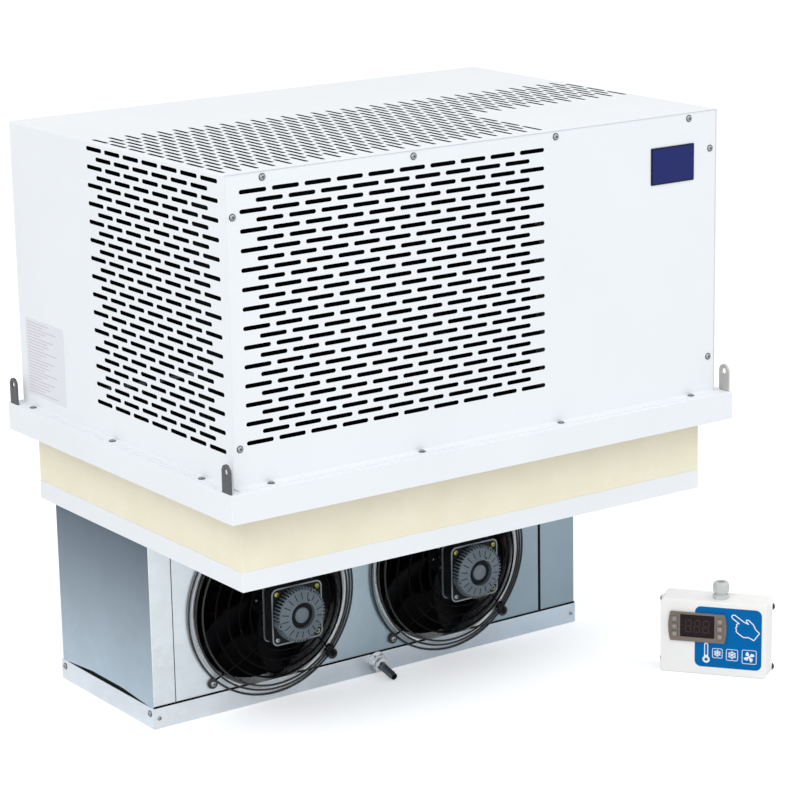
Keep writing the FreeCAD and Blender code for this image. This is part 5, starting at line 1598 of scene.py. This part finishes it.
@dataclass
class Evaporator:
    """Galvanized casing with its fans, coil, drip tray and drain."""

    fan_z: float = -231.5
    fan_xs: tuple[float, float] = (-176.5, 133.5)
    collar: float = 124.5
    collar_depth: float = 37.0
    mouth: float = 6.5
    panel_low: Pair = (-337.5, -365.0)
    panel_high: Pair = (304.0, -105.0)
    drain: tuple[float, float, float] = (3.0, 0.5, -363.0)
    drain_tilt: float = 14.0

    def build(self) -> None:
        """Build and dress the evaporator."""
        for name in ("evaporator_left_panel", "evaporator_right_panel"):
            dress_node(name, ZINC, 0.0)
        dress_node("evaporator_top_plate", ZINC, 0.0)
        dress_node("coil_end_plates", ZINC, 0.3)
        dress_node("drip_tray", TRAY_ZINC, 0.6)
        self.fan_panel()
        self.painted_gap_shades()
        FinCoil("evaporator_coil", Vector((-333.0, 163.0, -341.0)),
                Vector((333.0, 248.0, -106.0)), 4.2, 4, 8).build()
        for side, body, x in zip(("left", "right"), (Body.LEFT_FAN, Body.RIGHT_FAN),
                                 self.fan_xs):
            FanSet(side, body, x, self.fan_z).build()
        self.tray_fixings()
        self.drain_outlet()

    def fan_panel(self) -> None:
        """Front sheet with two drawn collars."""
        place = facing((0.0, 3.0, 0.0), (0, -1, 0))
        outline = [self.panel_low, (self.panel_high[0], self.panel_low[1]), self.panel_high,
                   (self.panel_low[0], self.panel_high[1])]
        mouth = self.mouth
        holes = [circle(self.collar + mouth, 96, (x, self.fan_z)) for x in self.fan_xs]
        sheet = Shape().plate(outline, holes, 0.0, 1.0, place)
        look = Dressing((ZINC,), "zinc_sheet")
        make_piece("fan_panel_skin", sheet, look, nodes=["fan_panel"])
        collars = Shape()
        for x in self.fan_xs:
            spot = facing((x, 3.0, self.fan_z), (0, -1, 0))
            r = self.collar
            lip = arc(180, 90, mouth, 8, (r + mouth, 1.0 - mouth))
            collars.lathe([(r, -self.collar_depth + 0.5), *lip], spot, 96)
        make_piece("fan_collars", collars, Dressing((COLLAR_ZINC,), "zinc_sheet", skin=0.9))

    def painted_gap_shades(self) -> None:
        """Painted shade: black strips behind the panel's seams, along the top of the tray and at
        its sides, and black sheets in the tray.
        """
        shape = Shape()
        shape.box((301.0, 3.1, -364.0), (311.5, 4.0, -106.2))
        shape.box((-341.5, 3.1, -364.0), (-336.0, 4.0, -106.2))
        reach = math.sqrt(self.collar ** 2 - (349.0 + self.fan_z) ** 2)
        ends = [-374.3, *(x + side * reach for x in self.fan_xs for side in (-1, 1)), 374.3]
        for x0, x1 in zip(ends[::2], ends[1::2]):
            shape.box((x0, 1.2, -350.6), (x1, 1.95, -347.4))
        for side in (-1, 1):
            x0, x1 = sorted((side * 371.2, side * 372.6))
            shape.box((x0, 12.0, -357.0), (x1, 256.0, -339.0))
        make_piece("painted_gap_shade_strips", shape, Dressing((BLACK_CLIP_AND_GAP_SHADE,), "rubber_black"))
        # Painted shade: black sheets on the tray's floor and inside its front.
        shade_sheet = Shape()
        shade_sheet.box((-373.0, 3.4, -378.6), (373.0, 265.0, -377.6))
        shade_sheet.box((-373.0, 2.0, -377.6), (373.0, 3.2, -366.5))
        make_piece("painted_shade_tray_sheet", shade_sheet, Dressing((PAINTED_SHADE_BLACK,), "rubber_black"))

    def tray_fixings(self) -> None:
        """Screws at the tray's sides and rivets at the ends of its front."""
        shape = Shape()
        for side in (-1, 1):
            for y in (11.0, 257.0):
                ScrewHead().add_to(shape, facing((side * 375.5, y, -359.0), (side, 0, 0)))
            rivet = ScrewHead(3.4, 2.0, Drive.RIVET)
            rivet.add_to(shape, facing((side * 366.5, 0.5, -365.0), (0, -1, 0)))
        make_piece("tray_fixing_heads", shape, Dressing(SCREW_FINISHES, "screw_steel"),
                   nodes=["tray_screws"])

    @staticmethod
    def tape_point(step: int, turn: int) -> Vector:
        """Point on the wound sealing tape: around the pipe, and around its own lumps."""
        around, over = math.tau * step / 48, math.tau * turn / 12
        lump = 1.0 + 0.28 * math.sin(5 * around + 0.7) + 0.2 * math.sin(11 * around + over)
        radius = 8.2 + 2.4 * lump * math.cos(over)
        height = 11.6 + 2.3 * lump * math.sin(over) + 0.5 * math.sin(3 * around)
        return Vector((radius * math.cos(around), radius * math.sin(around), height))

    def drain_outlet(self) -> None:
        """Bright drain nut on the tray's front and the ribbed pipe in it."""
        seat = facing(self.drain, (0, -1, 0))
        nut = Shape()
        nut.lathe([(6.2, 0.0), (15.2, 0.0), (15.6, 0.6), (15.6, 1.6), (14.8, 2.2), (8.0, 2.4)],
                  seat, 36)
        nut.plate(circle(14.0, 6), [circle(6.1, 24)], 2.0, 9.2, seat)
        nut.lathe([(12.6, 8.6), (11.6, 10.0), (6.2, 10.0)], seat, 36)
        make_piece("drain_lock_nut", nut, Dressing((BRIGHT,), "screw_steel", 0.8),
                   nodes=["drain_nut"])
        tilt = math.radians(self.drain_tilt)
        way = Vector((0.0, -math.cos(tilt), -math.sin(tilt)))
        outlet = facing(self.drain, way)
        tape = Shape()
        tape.surface([[outlet @ self.tape_point(k, j) for j in range(13)] for k in range(49)])
        make_piece("drain_tape", tape, Dressing((TAPE,), "screw_steel", crease=50.0))
        profile = [(4.9, 2.5), (5.8, 2.5), (5.8, 18.0), (6.0, 19.0), (5.2, 20.5)]
        for k in range(4):
            low = 22.0 + k * 5.4
            profile += [(5.2, low), (6.0, low + 0.8), (5.3, low + 4.4)]
        profile += [(5.2, 44.6), (5.0, 46.0), (4.4, 46.0), (4.4, 30.0)]
        pipe = Shape().lathe(profile, outlet, 32)
        # Painted shade across the bore.
        pipe.lathe([(4.4, 30.0), (0.0, 30.0)], outlet, 32, 1)
        make_piece("drain_outlet_pipe", pipe, Dressing((OUTLET, PAINTED_RECESS_SHADE), "screw_steel"),
                   nodes=["drain_pipe"])


# Control box beside the unit


@dataclass
class ControlBox:
    """Separate moulded box with the controller, its keys and a picture label."""

    origin: tuple[float, float, float] = (384.0, -310.0, -380.0)
    turn: float = -52.0
    width: float = 156.0
    height: float = 112.0
    cover: float = 36.0
    depth: float = 48.0
    seam: float = 0.4
    bezel: tuple[float, float, float] = (-23.0, 72.0, 4.0)
    bezel_half: Pair = (43.0, 22.0)
    bow: float = 3.0
    key_reach: float = 33.5
    key_pitch: float = 11.5
    key_half: float = 4.5
    display_half: Pair = (25.0, 17.0)
    display_centre: Pair = (-23.0, 74.0)
    label_low: Pair = (-27.0, 12.0)
    label_high: Pair = (71.0, 104.0)
    gland: tuple[float, float, float] = (7.0, 21.6, 112.0)
    key_marks: tuple[tuple[int, float, float], ...] = (
        (3, 90.0, 2.4), (3, -90.0, 2.4), (4, 0.0, 2.3), (24, 0.0, 2.0), (4, 45.0, 2.4),
        (6, 0.0, 2.2))

    def __post_init__(self) -> None:
        """Work out the places of the box and of its front."""
        spin = Matrix.Rotation(math.radians(self.turn), 4, "Z")
        self.place = Matrix.Translation(Vector(self.origin)) @ spin
        self.front = self.place @ facing((0.0, 0.0, 0.0), (0, -1, 0))

    def build(self) -> None:
        """Build the box and all that is on it."""
        self.shells()
        self.controller()
        self.keys()
        self.label()
        self.pictures()
        self.cable_gland()

    def shells(self) -> None:
        """Cover with its bosses, base behind the seam, and the side screws."""
        half = self.width / 2
        cover = Shape()
        cover.prism(rounded((-half, 0.0), (half, self.height), 5.0), -self.cover, 0.0,
                    self.front)
        for side in (-1, 1):
            x0, x1 = sorted((side * (half - 3.0), side * (half + 4.0)))
            for z in (4.0, 96.0):
                cover.prism(rounded((x0, z), (x1, z + 12.0), 2.0, 3), -self.cover,
                            -self.cover + 12.0, self.front)
        look = Dressing((BOX,), "box_grey", 1.5)
        make_piece("box_cover_shell", cover, look, Body.CONTROL_BOX, ["control_box_cover"])
        base = Shape().prism(rounded((-half, 0.0), (half, self.height), 5.0), -self.depth,
                             -self.cover - self.seam, self.front)
        make_piece("box_base_shell", base, Dressing((BOX,), "box_grey", 0.9), Body.CONTROL_BOX,
                   ["control_box_base"])
        screws = Shape()
        for side in (-1, 1):
            for z in (10.0, 102.0):
                place = self.place @ facing((side * (half + 4.0), 30.0, z), (side, 0, 0))
                ScrewHead().add_to(screws, place)
        make_piece("box_side_screws", screws, Dressing((DARK_STEEL, PAINTED_RECESS_SHADE), "screw_steel"),
                   Body.CONTROL_BOX, ["control_box_screws"])

    def key_centres(self) -> list[Pair]:
        """Centre of each key, down the left column and then down the right."""
        x, z, _ = self.bezel
        return [(x + side * self.key_reach, z + row * self.key_pitch)
                for side in (-1, 1) for row in (1, 0, -1)]

    def controller(self) -> None:
        """Bezel with bowed ends, the case behind it, and the smoked window."""
        x, z, thick = self.bezel
        wide, tall = self.bezel_half
        steps = [-1 + k / 6 for k in range(13)]
        outline = [(x + wide - self.bow * s * s, z + tall * s) for s in steps]
        outline += [(x - wide + self.bow * s * s, z - tall * s) for s in steps]
        dx, dz = self.display_centre
        half_w, half_h = self.display_half
        window = rounded((dx - half_w - 0.2, dz - half_h - 0.2),
                         (dx + half_w + 0.2, dz + half_h + 0.2), 1.5)
        reach = self.key_half + 0.25
        holes = [window] + [rounded((u - reach, v - reach), (u + reach, v + reach), 1.7)
                            for u, v in self.key_centres()]
        shape = Shape().plate(outline, holes, 0.05, thick, self.front)
        inner = [(x + (u - x) * 0.93, z + (v - z) * 0.93) for u, v in outline]
        shape.prism(inner, 0.05, 1.2, self.front)
        look = Dressing((BEZEL,), "bezel_brown", 0.6)
        make_piece("controller_front", shape, look, Body.CONTROL_BOX, ["controller_bezel"])
        lens = Shape().prism(rounded((dx - half_w, dz - half_h), (dx + half_w, dz + half_h),
                                     1.4), 1.1, 3.8, self.front)
        make_piece("display_lens", lens, Dressing((SMOKED,), "display_dark", 0.3),
                   Body.CONTROL_BOX, ["controller_display"])
        self.digits((dx, dz))

    def digits(self, centre: Pair) -> None:
        """Unlit seven-segment digits and pilot marks behind the window."""
        shape = Shape()
        for k in (-1, 0, 1):
            x, z = centre[0] + k * 13.0, centre[1]
            for v in (-9.0, 0.0, 9.0):
                shape.prism(stadium((x + v * 0.1, z + v), 6.4, 1.7), 3.78, 3.83, self.front)
            for u in (-1, 1):
                for v in (-4.5, 4.5):
                    spot = (x + u * 3.9 + v * 0.1, z + v)
                    shape.prism(stadium(spot, 7.4, 1.7, True), 3.78, 3.83, self.front)
            shape.prism(circle(0.9, 12, (x + 5.8, z - 9.2)), 3.78, 3.83, self.front)
        for k in range(3):
            shape.prism(circle(0.8, 12, (centre[0] - 22.0, centre[1] + 6.0 * (k - 1))), 3.78,
                        3.83, self.front)
        make_piece("display_segments", shape, Dressing((SEGMENT,), "display_dark"),
                   Body.CONTROL_BOX)

    def keys(self) -> None:
        """Six soft keys, each with a plain raised mark."""
        for number, (x, z) in enumerate(self.key_centres(), 1):
            h = self.key_half
            shape = Shape()
            shape.prism(rounded((x - h, z - h), (x + h, z + h), 1.5, 4), 2.4, 4.85, self.front)
            sides, turn, size = self.key_marks[number - 1]
            turn = math.radians(turn)
            mark = [(x + u * math.cos(turn) - v * math.sin(turn),
                     z + u * math.sin(turn) + v * math.cos(turn))
                    for u, v in circle(size, sides)]
            shape.plate(mark, [[(x + (u - x) * 0.55, z + (v - z) * 0.55) for u, v in mark]],
                        4.8, 4.93, self.front, 1)
            name = "control_key_%d" % number
            make_piece("key_%d" % number, shape, Dressing((KEY, KEY_MARK), "key_grey", 0.35),
                       name + "_body", [name])

    def label(self) -> None:
        """Blue picture label on the cover."""
        shape = Shape().prism(rounded(self.label_low, self.label_high, 9.0, 8), 0.02, 0.3,
                              self.front)
        make_piece("picture_label", shape, Dressing((LABEL_BLUE,), "box_grey"),
                   Body.CONTROL_BOX)

    def pictures(self) -> None:
        """White pictures: thermometer, two framed flakes, a framed fan and a hand."""
        shape = Shape()
        self.draw(shape, stadium((-10.0, 36.5), 26.0, 6.0, True))
        self.draw(shape, circle(5.4, 28, (-10.0, 23.5)), 0.39)
        self.draw(shape, stadium((-10.0, 38.5), 17.0, 3.2, True), 0.42, 1)
        self.draw(shape, circle(2.4, 20, (-10.0, 23.5)), 0.43, 1)
        for centre, half, flake in (((6.5, 34.0), 7.6, 5.6), ((28.0, 33.0), 8.8, 6.6)):
            self.frame(shape, centre, half)
            self.flake(shape, centre, flake)
        fan = (53.2, 32.0)
        self.frame(shape, fan, 10.8)
        for k in range(4):
            self.petal(shape, fan, math.pi / 2 * k + 0.4, 0.38 + 0.005 * k)
        self.draw(shape, circle(1.6, 16, fan), 0.41)
        self.hand(shape, (47.0, 79.0), -0.62)
        make_piece("label_pictures", shape, Dressing((INK_WHITE, LABEL_BLUE), "box_grey"),
                   Body.CONTROL_BOX)

    def draw(self, shape: Shape, outline: Loop, lift: float = 0.38, ink: int = 0) -> None:
        """Print one closed outline on the label."""
        shape.prism(outline, 0.28, lift, self.front, ink)

    def stroke(self, shape: Shape, points: Loop, width: float) -> None:
        """Print a closed line of the given width through the points."""
        for k, ((x, z), (u, v)) in enumerate(zip(points, [*points[1:], points[0]])):
            length = math.hypot(u - x, v - z)
            turn = Matrix.Translation(((x + u) / 2, (z + v) / 2, 0.0))
            turn = turn @ Matrix.Rotation(math.atan2(v - z, u - x), 4, "Z")
            shape.prism(stadium((0.0, 0.0), length + width, width), 0.28,
                        0.38 + 0.006 * (k % 3), self.front @ turn)

    def frame(self, shape: Shape, centre: Pair, half: float) -> None:
        """Print a rounded square frame round a picture."""
        (x, z), inner = centre, half - 0.9
        shape.plate(rounded((x - half, z - half), (x + half, z + half), 2.6),
                    [rounded((x - inner, z - inner), (x + inner, z + inner), 1.8)],
                    0.28, 0.38, self.front)

    def petal(self, shape: Shape, centre: Pair, angle: float, lift: float) -> None:
        """Print one curved blade of the fan picture."""
        outline = []
        for k in range(9):
            share = k / 8
            outline.append((1.2 + 7.0 * share, 3.4 * math.sin(math.pi * share) + 0.4))
        outline += [(8.2, -1.2), (5.0, -1.6), (1.2, -0.6)]
        turned = [(centre[0] + u * math.cos(angle) - v * math.sin(angle),
                   centre[1] + u * math.sin(angle) + v * math.cos(angle)) for u, v in outline]
        self.draw(shape, turned, lift)

    def flake(self, shape: Shape, centre: Pair, radius: float) -> None:
        """Print a six-armed flake with short side arms."""
        for arm in range(6):
            angle = math.pi / 3 * arm + math.pi / 6
            turn = Matrix.Translation((*centre, 0.0)) @ Matrix.Rotation(angle, 4, "Z")
            place = self.front @ turn
            shape.box((0.0, -0.6, 0.28), (radius, 0.6, 0.38 + 0.005 * arm), place)
            for side in (-1, 1):
                twig = place @ Matrix.Translation((radius * 0.5, 0.0, 0.0))
                twig = twig @ Matrix.Rotation(side * math.pi / 3, 4, "Z")
                shape.box((0.0, -0.5, 0.28), (radius * 0.42, 0.5, 0.355 + 0.006 * side), twig)

    def hand(self, shape: Shape, wrist: Pair, angle: float) -> None:
        """Print the outline of a plain hand that points to the keys."""
        outline = [(-4.0, 3.0), (-17.5, 3.0), (-19.6, 1.4), (-19.6, -0.8), (-17.5, -2.2),
                   (-7.5, -2.2), (-9.0, -3.6), (-9.0, -5.6), (-7.4, -6.8), (-7.6, -9.0),
                   (-5.8, -10.4), (-4.4, -12.4), (-2.0, -13.0), (6.5, -13.0), (11.5, -9.0),
                   (18.5, -8.0), (18.5, 3.5), (12.0, 4.5), (6.5, 7.5), (-1.0, 8.6),
                   (-3.4, 7.0), (-2.0, 5.2), (1.5, 4.4)]
        turned = [(wrist[0] + u * math.cos(angle) - v * math.sin(angle),
                   wrist[1] + u * math.sin(angle) + v * math.cos(angle))
                  for u, v in ((1.22 * u, 1.22 * v) for u, v in outline)]
        self.stroke(shape, turned, 1.5)

    def cable_gland(self) -> None:
        """Cable gland on top of the box."""
        place = self.place @ facing(self.gland, (0, 0, 1), (0, 1, 0))
        look = Dressing((GLAND_GREY,), "dark_plastic", 0.4)
        foot, nut = Shape(), Shape()
        add_gland(foot, place, nut=False)
        add_gland(nut, place, body=False)
        make_piece("box_gland_foot", foot, look, Body.CONTROL_BOX, ["control_gland_body"])
        make_piece("box_gland_nut", nut, look, Body.CONTROL_BOX, ["control_gland_nut"])


# Stage, light and camera


@dataclass
class Studio:
    """Pale floor, soft light and the camera."""

    floor_z: float = -380.3
    floor_half: float = 9000.0
    camera_at: tuple[float, float, float] = (-2207.63, -3248.08, 1058.81)
    forward: tuple[float, float, float] = (0.55272, 0.79420, -0.25248)
    upward: tuple[float, float, float] = (0.15946, 0.19658, 0.96744)
    lens: float = 127.32
    ambient: float = 0.78

    def build(self) -> None:
        """Build the floor, the lights, the world and the camera."""
        self.floor()
        self.world()
        self.lamp("key_light", (-3300.0, -2500.0, 3400.0), 2600.0, 68.0)
        self.lamp("fill_light", (2300.0, -2700.0, 3500.0), 3000.0, 28.0)
        self.camera()
        bpy.context.scene.view_settings.view_transform = "Standard"

    def floor(self) -> None:
        """Pale floor that keeps shadows and shows white to the camera."""
        r = self.floor_half * MM
        mesh = bpy.data.meshes.new("floor")
        z = self.floor_z * MM
        mesh.from_pydata([(-r, -r, z), (r, -r, z), (r, r, z), (-r, r, z)], [], [(0, 1, 2, 3)])
        graph = Graph("pale_floor")
        graph.give(Base_Color=srgb(243, 244, 246), Roughness=0.9)
        ray = graph.add("ShaderNodeLightPath", out="Is Camera Ray")
        graph.give(Emission_Color=graph.mix(ray, (0.0, 0.0, 0.0), (0.35, 0.35, 0.35)),
                   Emission_Strength=1.0)
        graph.bump(graph.noise(400.0), 0.1)
        mesh.materials.append(graph.material)
        floor = bpy.data.objects.new("floor", mesh)
        bpy.context.scene.collection.objects.link(floor)

    def world(self) -> None:
        """White backdrop to the camera and in reflections, plain soft light elsewhere."""
        world = bpy.data.worlds.new("studio")
        world.use_nodes = True
        bpy.context.scene.world = world
        tree = world.node_tree
        back = tree.nodes["Background"]
        path = tree.nodes.new("ShaderNodeLightPath")
        seen = path.outputs["Is Camera Ray"]
        for kind in ("Is Glossy Ray", "Is Transmission Ray"):
            either = tree.nodes.new("ShaderNodeMath")
            either.operation = "MAXIMUM"
            tree.links.new(seen, either.inputs[0])
            tree.links.new(path.outputs[kind], either.inputs[1])
            seen = either.outputs[0]
        level = tree.nodes.new("ShaderNodeMapRange")
        level.inputs["To Min"].default_value = self.ambient
        level.inputs["To Max"].default_value = 1.0
        tree.links.new(seen, level.inputs["Value"])
        tree.links.new(level.outputs[0], back.inputs["Strength"])
        back.inputs["Color"].default_value = (1.0, 1.0, 1.0, 1.0)

    def lamp(self, name: str, place: Sequence[float], size: float, power: float) -> None:
        """Add a soft square lamp aimed at the unit.

        Args:
            name: Name of the lamp.
            place: Where it hangs.
            size: Its width.
            power: Its power in watts.
        """
        light = bpy.data.lights.new(name, "AREA")
        light.size = size * MM
        light.energy = power
        lamp = bpy.data.objects.new(name, light)
        lamp.location = Vector(place) * MM
        aim = -Vector(place)
        lamp.rotation_mode = "QUATERNION"
        lamp.rotation_quaternion = aim.to_track_quat("-Z", "Y")
        bpy.context.scene.collection.objects.link(lamp)

    def camera(self) -> None:
        """Camera at the photograph's angle."""
        data = bpy.data.cameras.new("camera")
        data.lens = self.lens
        data.sensor_width = 36.0
        data.clip_end = 100.0
        camera = bpy.data.objects.new("camera", data)
        back = -Vector(self.forward).normalized()
        right = Vector(self.upward).cross(back).normalized()
        turn = Matrix((right, back.cross(right), back)).transposed().to_4x4()
        camera.matrix_world = Matrix.Translation(Vector(self.camera_at) * MM) @ turn
        bpy.context.scene.collection.objects.link(camera)
        bpy.context.scene.camera = camera


def main() -> None:
    """Build every sub-assembly in order."""
    logging.basicConfig(level=logging.INFO, format="%(message)s")
    for part in (Housing(), BasePan(), Condenser(), CeilingPlug(), Evaporator(), ControlBox(),
                 Studio()):
        log.info("building %s", type(part).__name__)
        part.build()


if __name__ == "__main__":
    main()
